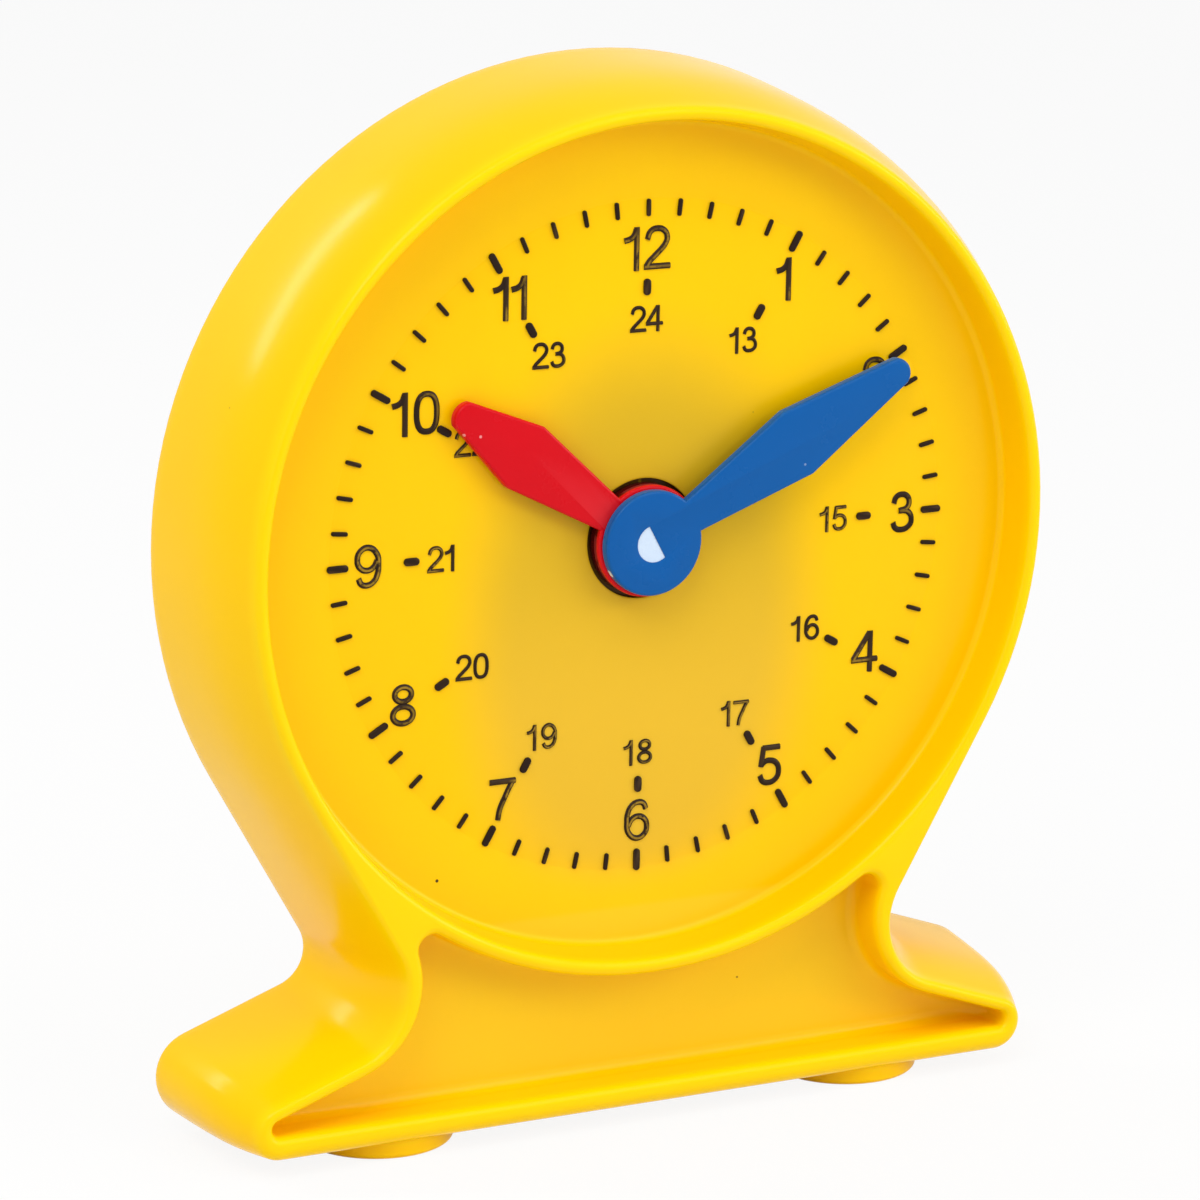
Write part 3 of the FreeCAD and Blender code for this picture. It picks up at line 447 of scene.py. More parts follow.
def plasticLook(name, finish):
    look = bpy.data.materials.new(name)
    look.use_nodes = True
    tree = look.node_tree
    shader = tree.nodes["Principled BSDF"]
    place = addNode(tree, "ShaderNodeTexCoord").outputs
    where, facing = place["Object"], place["Normal"]
    skin = placeGroup(tree, mouldedSkin, {
        "Vector": where, "Colour": finish["colour"],
        "Deep Colour": finish["deep"], "Drift": finish["drift"],
        "Gloss": finish["roughness"], "Gloss Range": finish["roughnessRange"],
        "Grain": finish["grain"]})
    colour = skin.outputs["Colour"]
    # painted light of the case: painted highlight on the rim, painted shade on the dial
    # centre, hub sink and pocket floor
    if "paintedLight" in finish:
        paintedLight = finish["paintedLight"]
        colour = placeGroup(tree, casePaintedLight, {
            "Vector": where, "Normal": facing,
            "Colour": colour, "Rim Highlight Colour": paintedLight["rim"],
            "Upper Painted Shade": paintedLight["upperShade"],
            "Lower Painted Shade": paintedLight["lowerShade"], "Sink Shade Colour": paintedLight["sink"],
            "Pocket Shade Colour": paintedLight["pocket"]}).outputs["Colour"]
    # paler stroke tops on the figures: painted highlight, partly worn foil
    if "bareAndHighlight" in finish:
        colour = placeGroup(tree, foilWearAndHighlight, {
            "Vector": where, "Normal": facing,
            "Colour": colour, "Bare And Highlight Colour": finish["bareAndHighlight"],
            "Amount": finish["bareAndHighlightAmount"]}).outputs["Colour"]
    for spot in finish.get("spots", []):
        mask = placeGroup(tree, spotMask, {
            "Vector": where, "Centre": spot["centre"],
            "Reach": spot["reach"], "From": spot["from"], "To": spot["to"],
            "Ragged": spot["ragged"]})
        colour = mixTone(tree, mask.outputs["Mask"], colour, spot["colour"])
    dust = placeGroup(tree, dustSpecks, {
        "Vector": where, "Colour": colour,
        "Speck Colour": finish["speck"], "Spacing": finish["speckSpacing"],
        "Size": finish["speckSize"], "Amount": finish["speckAmount"]})
    # paler edges: wear, and on the hands a painted highlight along the bevels
    rubHighlight = placeGroup(tree, edgeRubAndHighlight, {
        "Colour": dust.outputs["Colour"], "Rubbed And Highlight Colour": finish["rubbedAndHighlight"],
        "Roughness": skin.outputs["Roughness"], "From": finish["rubHighlightFrom"],
        "To": finish["rubHighlightTo"], "Amount": finish["rubHighlightAmount"]})
    bump = addNode(tree, "ShaderNodeBump", {"Height": skin.outputs["Height"],
                   "Strength": finish["bump"], "Distance": 0.00004})
    tree.links.new(rubHighlight.outputs["Colour"], shader.inputs["Base Color"])
    tree.links.new(rubHighlight.outputs["Roughness"], shader.inputs["Roughness"])
    tree.links.new(bump.outputs["Normal"], shader.inputs["Normal"])
    shader.inputs["IOR"].default_value = finish["ior"]
    shader.inputs["Specular IOR Level"].default_value = finish["shine"]
    return look


yellowFinish = {
    "colour": (0.98, 0.585, 0.0), "deep": (0.96, 0.54, 0.0), "drift": 0.5,
    "roughness": 0.21, "roughnessRange": 0.08, "grain": 1500.0,
    "speck": (0.25, 0.14, 0.02), "speckSpacing": 120.0, "speckSize": 0.02,
    "speckAmount": 0.35, "rubbedAndHighlight": (0.98, 0.66, 0.02), "rubHighlightFrom": 0.53, "rubHighlightTo": 0.65,
    "rubHighlightAmount": 0.25, "bump": 0.25, "ior": 1.49, "shine": 0.11,
}
# painted light of the case: the brighter rim is a painted highlight; painted shade
# darkens the dial centre, more towards the top, and the hub sink and pocket floor
shellFinish = dict(yellowFinish, paintedLight={
    "rim": (0.99, 0.65, 0.0), "upperShade": (0.68, 0.425, 0.014),
    "lowerShade": (0.80, 0.485, 0.028), "sink": (0.13, 0.055, 0.008),
    "pocket": (0.94, 0.59, 0.013)}, spots=[{  # dark specks on the dial and in the pocket
        "centre": (-0.02944, -0.0056, 0.03583), "reach": (0.0003, 0.0003, 0.0003),
        "from": 0.7, "to": 1.1, "ragged": 0.3, "colour": (0.05, 0.03, 0.01)}, {
        "centre": (0.01587, -0.0056, 0.01654), "reach": (0.00022, 0.0003, 0.0002),
        "from": 0.7, "to": 1.1, "ragged": 0.3, "colour": (0.35, 0.16, 0.01)}])
# the blue hand's paler edges are mainly a painted highlight along its bevels
blueFinish = dict(yellowFinish, colour=(0.002, 0.095, 0.35), deep=(0.003, 0.107, 0.38),
                  roughness=0.27, speck=(0.5, 0.6, 0.75), speckAmount=0.4,
                  speckSpacing=260.0, speckSize=0.05, shine=0.14,
                  rubbedAndHighlight=(0.10, 0.32, 0.66), rubHighlightAmount=0.6,
                  spots=[{  # chip on the side of the hub disc
                      "centre": (-0.0061, -0.0083, 0.0755),
                      "reach": (0.0008, 0.0007, 0.0008), "from": 0.8, "to": 1.1,
                      "ragged": 0.5, "colour": (0.70, 0.82, 0.95)}])
# the red hand's paler edges are mainly a painted highlight along its bevels
redFinish = dict(yellowFinish, colour=(0.64, 0.001, 0.008), deep=(0.58, 0.001, 0.006),
                 roughness=0.27, speck=(0.95, 0.45, 0.45), speckAmount=0.6,
                 speckSpacing=260.0, speckSize=0.06, shine=0.14,
                 rubbedAndHighlight=(0.90, 0.10, 0.12), rubHighlightAmount=0.6,
                 spots=[{  # painted shade: dark red on the side of the thick hub
                     "centre": (0, -0.0058, 0.0792), "reach": (0.012, 0.0016, 0.012),
                     "from": 0.85, "to": 1.1, "ragged": 0.0,
                     "colour": (0.07, 0.002, 0.002)}])
inkFinish = dict(yellowFinish, colour=(0.016, 0.008, 0.005), deep=(0.028, 0.014, 0.007),
                 drift=0.8, roughness=0.33, roughnessRange=0.2, speckAmount=0.0,
                 rubbedAndHighlight=(0.10, 0.055, 0.02), rubHighlightFrom=0.55, rubHighlightTo=0.75, rubHighlightAmount=0.4)
# figures: paler khaki on the stroke tops is a painted highlight, partly foil worn through
figureFinish = dict(inkFinish, bareAndHighlight=(0.42, 0.25, 0.02), bareAndHighlightAmount=0.75)
gearFinish = dict(yellowFinish, colour=(0.83, 0.81, 0.75), deep=(0.79, 0.76, 0.68),
                  roughness=0.38, speckAmount=0.0, rubbedAndHighlight=(0.9, 0.88, 0.84))
# the arbor end's white plastic is given a pale blue: painted bluish light from the blue
# hand round it
arborFinish = dict(gearFinish, colour=(0.55, 0.70, 0.90), deep=(0.50, 0.65, 0.87),
                   roughness=0.25, shine=0.3)
coverFinish = dict(yellowFinish, roughness=0.34, roughnessRange=0.12, grain=2600.0,
                   bump=0.6)
feetFinish = dict(yellowFinish, roughness=0.3, roughnessRange=0.15)

yellowShell = plasticLook("yellowShell", shellFinish)
yellowCover = plasticLook("yellowCover", coverFinish)
yellowFeet = plasticLook("yellowFeet", feetFinish)
bluePlastic = plasticLook("bluePlastic", blueFinish)
redPlastic = plasticLook("redPlastic", redFinish)
darkMarks = plasticLook("darkMarks", inkFinish)
darkFigures = plasticLook("darkFigures", figureFinish)
whiteAcetal = plasticLook("whiteAcetal", gearFinish)
arborEnd = plasticLook("arborEnd", arborFinish)


def steelLook(name, finish):
    look = bpy.data.materials.new(name)
    look.use_nodes = True
    tree = look.node_tree
    shader = tree.nodes["Principled BSDF"]
    place = addNode(tree, "ShaderNodeTexCoord")
    turned = addNode(tree, "ShaderNodeMapping", {"Vector": place.outputs["Object"],
                     "Scale": finish["stretch"]})
    lines = noise(tree, turned.outputs["Vector"], 1.0, 6.0, Roughness=0.6)
    tone = mixTone(tree, lines, finish["colour"], finish["dark"])
    rough = addNode(tree, "ShaderNodeMapRange", {"Value": lines,
                    "To Min": finish["smooth"], "To Max": finish["rough"]})
    rubHighlight = placeGroup(tree, edgeRubAndHighlight, {
        "Colour": tone, "Rubbed And Highlight Colour": (0.85, 0.85, 0.86),
        "Roughness": rough.outputs[0], "From": 0.52, "To": 0.7, "Amount": 0.5})
    bump = addNode(tree, "ShaderNodeBump", {"Height": lines,
                   "Strength": 0.15, "Distance": 0.00003})
    tree.links.new(rubHighlight.outputs["Colour"], shader.inputs["Base Color"])
    tree.links.new(rubHighlight.outputs["Roughness"], shader.inputs["Roughness"])
    tree.links.new(bump.outputs["Normal"], shader.inputs["Normal"])
    shader.inputs["Metallic"].default_value = 1.0
    return look


zincScrew = steelLook("zincScrew", {
    "colour": (0.60, 0.60, 0.61), "dark": (0.42, 0.42, 0.43), "smooth": 0.22,
    "rough": 0.42, "stretch": (900.0, 900.0, 900.0)})
groundSteel = steelLook("groundSteel", {
    "colour": (0.63, 0.63, 0.64), "dark": (0.50, 0.50, 0.52), "smooth": 0.16,
    "rough": 0.32, "stretch": (2500.0, 60.0, 2500.0)})
print("finishes ready")


# case

caseForm = {
    "headRadius": 58.3, "waistLean": 29.7, "waistFillet": 9.3, "footSlope": 19.5,
    "footReach": 57.9, "footTip": 6.6, "baseDrop": 76.6, "depth": 24.0,
    "baseFlare": 0.19,  # growth of the flat base against the growth of the wall
    # how far the wall stands out from the front outline, by depth
    "wall": [(1.15, -0.17), (1.9, 0.15), (2.8, 0.53), (3.8, 0.93), (4.9, 1.34),
             (6.1, 1.73), (7.4, 2.11), (8.7, 2.43), (10.3, 2.75), (12.0, 3.02),
             (14.0, 3.28), (16.5, 3.55), (19.5, 3.83), (22.0, 4.04), (23.6, 4.165),
             (23.85, 4.13), (24.0, 4.0)],
    "crestRoll": 2.1, "crestAngle": 63.1, "crestSteps": 7,
    # how much of the crest's width each stretch of the outline has
    "headCrest": 0.54, "footCrest": 0.46, "endCrest": 0.70, "baseCrest": 1.0,
    "waistBand": 3.2, "footBand": 2.2, "endBand": 2.6, "baseBand": 3.3,
    "pocketCorner": 2.0, "pocketRoll": 1.0, "ringRoll": 1.2, "rollDepth": 1.5,
    "pocketCove": 1.5, "coveReach": 4.2, "dialDepth": 6.4,
    "frontWall": 2.4, "sideWall": 2.6,
    "lip": 1.2, "coverThickness": 2.2, "coverGrow": 4.2, "lipEdge": 0.12, "lipFlare": 0.1,
    "hollowMiddle": 15.0, "step": 0.002,  # smallest step between two rings
    "floorBorder": 0.12, "steps": 22,
}


def waistNormal():
    lean = math.radians(caseForm["waistLean"])
    return Vector((math.cos(lean), -math.sin(lean)))


def footNormal():
    slope = math.radians(caseForm["footSlope"])
    return Vector((math.sin(slope), math.cos(slope)))


def footLine():
    slope = math.radians(caseForm["footSlope"])
    return (caseForm["footReach"] * math.sin(slope)
            + (caseForm["footTip"] - caseForm["baseDrop"]) * math.cos(slope))


def sideCorners(waist, foot, reach, base, bend):
    # (point, centre) pairs of the right side, from the head down to the flat base
    w, f = waistNormal(), footNormal()
    across = w.x * f.y - w.y * f.x
    middle = Vector((((waist + bend) * f.y - (foot + bend) * w.y) / across,
                     ((foot + bend) * w.x - (waist + bend) * f.x) / across))
    tip = (foot - f.x * reach - f.y * base) / (1 + f.y - f.x)
    end = Vector((reach - tip, base + tip))
    return [(w * waist, None), (middle - w * bend, middle), (middle - f * bend, None),
            (end + f * tip, end), (end - Vector((0, tip)), None)]


def mirrored(corners):
    # the same side on the left, walked the other way
    points = [Vector((-p.x, p.y)) for p, c in corners]
    centres = [None if c is None else Vector((-c.x, c.y)) for p, c in corners]
    return [(points[i], centres[i - 1] if i else None)
            for i in range(len(points) - 1, -1, -1)]


def caseOutline(depth, head, foot, end, base):
    # whole outline, with its own growth for the head, foot, foot end and base
    radius = caseForm["headRadius"] + head
    right = sideCorners(radius, footLine() + foot, caseForm["footReach"] + end,
                        -caseForm["baseDrop"] - base, caseForm["waistFillet"] - head)
    left = mirrored(right)
    centre = Vector((0, 0))
    start, lean = left[-1][0], math.radians(caseForm["waistLean"])
    corners = right + left[:-1] + [(start, centre)]
    for share in (0.25, 0.5, 0.75):
        angle = math.pi + lean - (math.pi + 2 * lean) * share
        corners.append((Vector((math.cos(angle), math.sin(angle))) * radius, centre))
    return drawOutline("caseRing", depth, corners, caseForm["steps"])


def wallOutline(depth, grow, inwards=0.0):
    # a ring of the wall; inwards moves it in by a wall's thickness
    return caseOutline(depth, grow - inwards, grow - inwards, grow - inwards,
                       grow * caseForm["baseFlare"] - inwards)


def growAt(depth):
    wall = caseForm["wall"]
    for (a, low), (b, high) in zip(wall, wall[1:]):
        if depth <= b:
            return low + (high - low) * (depth - a) / (b - a)
    return wall[-1][1]


def pocketOutline(depth, ringGrow, grow, endGrow):
    # the round top corners touch both the bead and the waist bend
    form = caseForm
    ring = form["headRadius"] - ringGrow
    bend = form["waistFillet"] + form["waistBand"] - grow
    side = sideCorners(form["headRadius"] - form["waistBand"] + grow,
                       footLine() - form["footBand"] + grow,
                       form["footReach"] - form["endBand"] + endGrow,
                       -form["baseDrop"] + form["baseBand"] - grow, bend)
    bendCentre = side[1][1]
    corner = form["pocketCorner"] + grow
    away = bendCentre.length
    along = ((ring + corner) ** 2 - (bend + corner) ** 2 + away ** 2) / (2 * away)
    drop = math.sqrt((ring + corner) ** 2 - along ** 2)
    outward = bendCentre.normalized()
    middle = outward * along + Vector((outward.y, -outward.x)) * drop
    onRing = middle - middle.normalized() * corner
    onBend = middle + (bendCentre - middle).normalized() * corner
    right = [(onRing, middle), (onBend, bendCentre)] + side[2:]
    left = mirrored(right)
    return drawOutline("pocketRing", depth,
                       right + left[:-1] + [(left[-1][0], Vector((0, 0)))],
                       form["steps"])


def bridgeRings(rings, name):
    # rings at different depths, joined and bridged from one to the next
    depths = [ring.data.vertices[0].co.y for ring in rings]
    skin = joinPieces(rings, name)
    for a, b in zip(depths, depths[1:]):
        pickEdges(skin, lambda p, q: (abs(p.y - a) < 1e-4 and abs(q.y - a) < 1e-4)
                  or (abs(p.y - b) < 1e-4 and abs(q.y - b) < 1e-4))
        bpy.ops.mesh.bridge_edge_loops()
    leaveEdit()
    return skin


def atDepth(depth):
    return lambda p, q: abs(p.y - depth) < 1e-4 and abs(q.y - depth) < 1e-4


def fillLevel(piece, depth):
    # fills between the open edges that lie at one depth
    pickEdges(piece, atDepth(depth))
    bpy.ops.mesh.fill(use_beauty=True)
    leaveEdit()


def makeOuterWall():
    rings = []
    form = caseForm
    roll = form["crestRoll"]
    startGrow = form["wall"][0][1]
    for i in range(form["crestSteps"]):
        angle = math.radians(form["crestAngle"] * i / form["crestSteps"])
        depth = roll - roll * math.cos(angle)
        back = roll * (math.sin(math.radians(form["crestAngle"])) - math.sin(angle))
        rings.append(caseOutline(
            depth, startGrow - back * form["headCrest"],
            startGrow - back * form["footCrest"],
            startGrow - back * form["endCrest"],
            startGrow * form["baseFlare"] - back * form["baseCrest"]))
    for depth, grow in form["wall"]:
        rings.append(wallOutline(depth, grow))
    return bridgeRings(rings, "outerWall")


def makePocket():
    # rolled front edge, straight wall, and a cove round the floor
    form = caseForm
    rings = []
    quarter = [math.radians(degrees) for degrees in range(0, 91, 15)]
    for turn in quarter:
        rest = 1 - math.sin(turn)
        rings.append(pocketOutline(form["rollDepth"] * (1 - math.cos(turn)),
                                   form["ringRoll"] * rest, form["pocketRoll"] * rest,
                                   form["pocketRoll"] * rest))
    cove = form["pocketCove"]
    for turn in quarter:
        step = cove * (1 - math.cos(turn))
        rings.append(pocketOutline(form["dialDepth"] - cove + cove * math.sin(turn),
                                   -step, -step, -step * form["coveReach"]))
    pocket = bridgeRings(rings, "pocket")
    # floor, with a narrow border so that the cove's shading ends where the cove does
    pickEdges(pocket, atDepth(form["dialDepth"]))
    bpy.ops.mesh.edge_face_add()
    bpy.ops.mesh.inset(thickness=form["floorBorder"])
    leaveEdit()
    return pocket


dialForm = {
    "opening": 56.1, "roll": 0.95, "draft": 0.6, "cove": 1.0,
    "flatBorder": 0.15, "flatMiddle": 20.0,
    # faint ring left by a tool insert, as (outwards, deeper) from its radius
    "witness": 45.2, "witnessDip": [(0.25, 0), (0.12, 0.02), (-0.12, 0.02), (-0.25, 0)],
    "sinkRadius": 8.05, "sinkDepth": 1.0, "sinkEdge": 0.1, "bore": 4.55,
    "sinkLip": [(0.35, 0), (0.15, 0), (0.04, 0.05), (0, 0.18)],
    "bearing": 7.15, "bearingHeight": 1.6, "steps": 222,
}


def makeDial():
    # one turned profile: rolled rim, wall, cove, flat dial, hub sink, bore and bearing
    form, floor = dialForm, caseForm["dialDepth"]
    back = floor + caseForm["frontWall"]
    foot = form["opening"] - form["draft"]
    points = arcPoints(form["opening"] + form["roll"], form["roll"], form["roll"],
                       270, 180, 8)
    flat = foot - form["cove"]
    points += arcPoints(flat, floor - form["cove"], form["cove"], 0, 90, 12)
    points.append((flat - form["flatBorder"], floor))
    points += [(form["witness"] + out, floor + deep) for out, deep in form["witnessDip"]]
    points.append((form["flatMiddle"], floor))
    sink, low, edge = form["sinkRadius"], floor + form["sinkDepth"], form["sinkEdge"]
    points += [(sink + out, floor + deep) for out, deep in form["sinkLip"]]
    points += [(sink, low - edge), (sink - edge, low), (form["bore"] + edge, low),
               (form["bore"], low + edge)]
    end = back + form["bearingHeight"]
    points += [(form["bore"], end), (form["bearing"], end), (form["bearing"], back)]
    return spinProfile(drawProfile("dialFace", points), form["steps"])


bossForm = {
    "radius": 3.4, "edge": 0.3, "hole": 1.4, "holeDepth": 9.0, "front": 8.3, "back": 21.8,
    "places": [(-36.98, 34.97), (36.98, 34.97), (-27.0, -66.5), (27.0, -66.5)],
    "studRadius": 3.2, "studHole": 1.52, "studHoleDepth": 1.6, "studBack": 10.4,
    "seatInset": 0.4, "studPlace": (0.0, -24.0),
    "footRadius": 10.5, "footTop": -76.3, "footBottom": -77.4, "footPlace": 35.6,
}


def makeBoss(x, z, radius, hole, front, back, holeDepth):
    # post on the inside of the case with a screw hole from the back
    edge = bossForm["edge"]
    points = [(0, front), (radius, front), (radius, back - edge), (radius - edge, back),
              (hole, back), (hole, back - holeDepth), (0, back - holeDepth)]
    boss = spinProfile(drawProfile("boss", points), 32)
    makeActive(boss)
    boss.location = (x, 0, z)
    placeInMesh()
    return boss


def makeFootSeat(x):
    # round step between the case's base and the foot
    form = bossForm
    tall = form["footTop"] - form["footBottom"]
    bpy.ops.mesh.primitive_cylinder_add(
        vertices=96, radius=form["footRadius"], depth=tall,
        location=(x, caseForm["depth"] / 2, (form["footTop"] + form["footBottom"]) / 2))
    seat = bpy.context.object
    makeActive(seat)
    placeInMesh()
    pickFaces(seat, lambda middle, normal: abs(normal.z) > 0.9)
    bpy.ops.mesh.inset(thickness=form["seatInset"])
    leaveEdit()
    return seat


def makeCase():
    form = caseForm
    back = form["dialDepth"] + form["frontWall"]
    coverFront = form["depth"] - form["coverThickness"]
    middle = form["hollowMiddle"]
    front = joinPieces([makeOuterWall(), makePocket(), makeDial()], "front")
    fillLevel(front, 0.0)
    # back: lip, rebate for the cover, and the hollow inside
    lipGrow = form["coverGrow"] - form["lip"]
    hollow = bridgeRings([
        wallOutline(form["depth"] - form["step"], lipGrow + form["lipFlare"]),
        wallOutline(form["depth"] - form["lipEdge"], lipGrow),
        wallOutline(coverFront, lipGrow),
        wallOutline(coverFront - form["step"], growAt(coverFront), form["sideWall"]),
        wallOutline(middle, growAt(middle), form["sideWall"]),
        wallOutline(back, growAt(back), form["sideWall"])], "hollow")
    case = joinPieces([front, hollow], "case_moulding")
    pickEdges(case, lambda p, q: min(p.y, q.y) > form["depth"] - 0.01)
    bpy.ops.mesh.bridge_edge_loops()
    leaveEdit()
    fillLevel(case, back)
    added = [case]
    for x, z in bossForm["places"]:
        added.append(makeBoss(x, z, bossForm["radius"], bossForm["hole"],
                              bossForm["front"], bossForm["back"], bossForm["holeDepth"]))
    x, z = bossForm["studPlace"]
    added.append(makeBoss(x, z, bossForm["studRadius"], bossForm["studHole"],
                          bossForm["front"], bossForm["studBack"],
                          bossForm["studHoleDepth"]))
    for x in (-bossForm["footPlace"], bossForm["footPlace"]):
        added.append(makeFootSeat(x))
    case = joinPieces(added, "case_moulding")
    mergeAndFace(case)
    settlePiece(case, "stand", yellowShell)
    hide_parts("case")
    print("case:", len(case.data.polygons), "faces")
    return case


case = makeCase()


# raised figures and marks

figureForm = {
    "stroke": 0.82, "rise": 0.3, "smallScale": 0.61, "smallRise": 0.8,
}


def ringPoints(x, z, wide, tall, power=2.0, count=12):
    points = []
    for i in range(count):
        angle = math.tau * i / count
        c, s = math.cos(angle), math.sin(angle)
        points.append((x + wide * math.copysign(abs(c) ** (2 / power), c),
                       z + tall * math.copysign(abs(s) ** (2 / power), s)))
    return points


sixStrokes = [
    ("bend", [(3.2, 4.4), (2.85, 5.12), (2.04, 5.39), (1.05, 4.95), (0.5, 3.9),
              (0.4, 2.88), (0.62, 1.35), (1.85, 0.4), (3.0, 0.85), (3.4, 1.9),
              (3.02, 2.98), (2.0, 3.43), (1.1, 3.05), (0.6, 2.2)]),
]
# centre lines of the strokes, from the left edge and the baseline of each figure
digitStrokes = {
    "0": [("ring", ringPoints(1.865, 2.89, 1.43, 2.46, 2.5, 16))],
    "1": [("line", [(0, 0), (0, 5.75)]),
          ("bend", [(-1.83, 4.0), (-0.9, 4.25), (-0.4, 4.7), (-0.1, 5.45)])],
    "2": [("bend", [(0.5, 4.0), (0.9, 5.02), (1.93, 5.41), (3.0, 5.05), (3.4, 4.17),
                    (3.2, 3.45), (2.75, 2.86), (1.45, 1.67), (0.72, 0.98), (0.42, 0.43)]),
          ("line", [(0.05, 0.43), (3.85, 0.43)])],
    "3": [("bend", [(0.53, 4.12), (0.85, 4.95), (1.67, 5.3), (2.55, 5.02), (2.91, 4.28),
                    (2.6, 3.42), (1.36, 3.06)]),
          ("bend", [(1.36, 3.06), (2.75, 2.85), (3.34, 1.66), (2.9, 0.78), (1.74, 0.42),
                    (0.85, 0.72), (0.48, 1.5)])],
    "4": [("line", [(2.88, 0), (2.88, 5.67)]), ("line", [(0.0, 1.72), (3.97, 1.72)]),
          ("line", [(2.75, 5.5), (0.28, 1.85)])],
    "5": [("line", [(0.62, 5.31), (3.24, 5.31)]), ("line", [(0.82, 5.5), (0.42, 2.75)]),
          ("bend", [(0.45, 2.9), (1.0, 3.38), (1.74, 3.52), (2.8, 3.05), (3.17, 1.92),
                    (2.75, 0.85), (1.62, 0.42), (0.72, 0.72), (0.31, 1.57)])],
    "6": sixStrokes,
    "7": [("line", [(0, 5.2), (3.76, 5.2)]),
          ("bend", [(3.45, 5.2), (2.9, 4.3), (2.25, 3.0), (1.55, 1.48), (1.26, 0)])],
    "8": [("ring", ringPoints(1.86, 4.31, 1.19, 0.97)),
          ("ring", ringPoints(1.86, 1.55, 1.45, 1.13))],
    "9": [(kind, [(3.87 - x, 5.8 - z) for x, z in points])  # a six turned round
          for kind, points in sixStrokes],
}
# figures with the places of their digits, from the dial centre
hourPlaces = [
    ("1", -1.6, 35.76), ("2", -0.55, 35.76), ("1", 21.12, 30.26), ("2", 32.7, 15.87),
    ("3", 37.76, -2.9), ("4", 32.36, -21.79), ("5", 18.33, -36.12), ("6", -1.9, -41.48),
    ("7", -21.95, -36.12), ("8", -36.43, -21.86), ("9", -41.67, -2.95),
    ("1", -34.6, 16.52), ("0", -33.4, 16.52), ("1", -20.43, 30.52), ("1", -17.81, 30.52),
]
laterPlaces = [
    ("2", -2.4, 27.58), ("4", -0.04, 27.58), ("1", 13.54, 23.69), ("3", 14.31, 23.69),
    ("1", 24.0, 13.05), ("4", 24.75, 13.05), ("1", 27.96, -1.75), ("5", 28.85, -1.75),
    ("1", 24.02, -16.48), ("6", 24.9, -16.48), ("1", 13.58, -27.13), ("7", 14.31, -27.13),
    ("1", -1.06, -30.92), ("8", -0.15, -30.92), ("1", -15.42, -27.23),
    ("9", -14.52, -27.23), ("2", -27.08, -16.67), ("0", -24.52, -16.67),
    ("2", -31.29, -1.79), ("1", -27.63, -1.79), ("2", -27.6, 13.13),
    ("2", -25.04, 13.13), ("2", -16.54, 23.79), ("3", -14.0, 23.79),
]


def makeStroke(kind, points):
    # closed round bar along one stroke
    line, spline = startLine("stroke", "BEZIER", len(points))
    line.data.resolution_u = 5
    spline.use_cyclic_u = kind == "ring"
    for spot, (x, z) in zip(spline.bezier_points, points):
        spot.co = (x, 0, z)
        spot.handle_left_type = spot.handle_right_type = (
            "VECTOR" if kind == "line" else "AUTO")
    line.data.bevel_depth = figureForm["stroke"] / 2
    line.data.bevel_resolution = 2
    line.data.use_fill_caps = True
    bar = meshFromLine(line)
    mergeAndFace(bar, 0.0001)
    return bar


def makeDigit(digit):
    # the bars of its strokes, flattened; their back halves lie in the dial wall
    bars = [makeStroke(kind, points) for kind, points in digitStrokes[digit]]
    piece = joinPieces(bars, "digit" + digit)
    bpy.ops.object.mode_set(mode="EDIT")
    bpy.ops.mesh.select_all(action="SELECT")
    bpy.ops.transform.resize(value=(1, figureForm["rise"] * 2 / figureForm["stroke"], 1),
                             center_override=(0, 0, 0))
    leaveEdit()
    return piece


def placeFigures(masters, places, name, scale, rise):
    depth = caseForm["dialDepth"]
    return joinCopies([
        copyPiece(masters[digit], (x, depth, z), scale=(scale, rise, scale))
        for digit, x, z in places], name)


masters = {digit: makeDigit(digit) for digit in digitStrokes}
hourFigures = placeFigures(masters, hourPlaces, "hour_figures", 1.0, 1.0)
laterFigures = placeFigures(masters, laterPlaces, "afternoon_figures",
                            figureForm["smallScale"], figureForm["smallRise"])
for master in masters.values():
    bpy.data.objects.remove(master)
for figures in (hourFigures, laterFigures):
    settlePiece(figures, "stand", darkFigures, 50)
print("figures:", len(hourPlaces) + len(laterPlaces))

markForm = {
    "minute": {"length": 2.3, "width": 0.6, "ring": 44.0},
    "hour": {"length": 3.0, "width": 0.95, "ring": 44.0},
    "inner": {"length": 2.2, "width": 1.05, "ring": 33.55},
    "rise": 0.34, "edge": 0.13, "sunk": 0.05,
}


def makeBar(name, length, width):
    # a disc pulled out to a round-ended bar, raised, with a soft top edge
    bpy.ops.mesh.primitive_circle_add(vertices=20, radius=width / 2, fill_type="NGON",
                                      location=(0, 0, 0), rotation=(math.pi / 2, 0, 0))
    bar = bpy.context.object
    bar.name = name
    makeActive(bar)
    placeInMesh()
    reach = (length - width) / 2
    for side in (-1, 1):
        pickEdges(bar, lambda p, q: p.z * side > 0.001 and q.z * side > 0.001)
        bpy.ops.transform.translate(value=(0, 0, reach * side))
    bpy.ops.mesh.select_all(action="SELECT")
    bpy.ops.transform.translate(value=(0, markForm["sunk"], 0))
    bpy.ops.mesh.extrude_region_move(TRANSFORM_OT_translate={
        "value": (0, -markForm["rise"] - markForm["sunk"], 0)})
    pickEdges(bar, lambda p, q: p.y < -markForm["rise"] + 0.01
              and q.y < -markForm["rise"] + 0.01)
    bpy.ops.mesh.bevel(offset=markForm["edge"], segments=3, affect="EDGES")
    leaveEdit()
    return bar


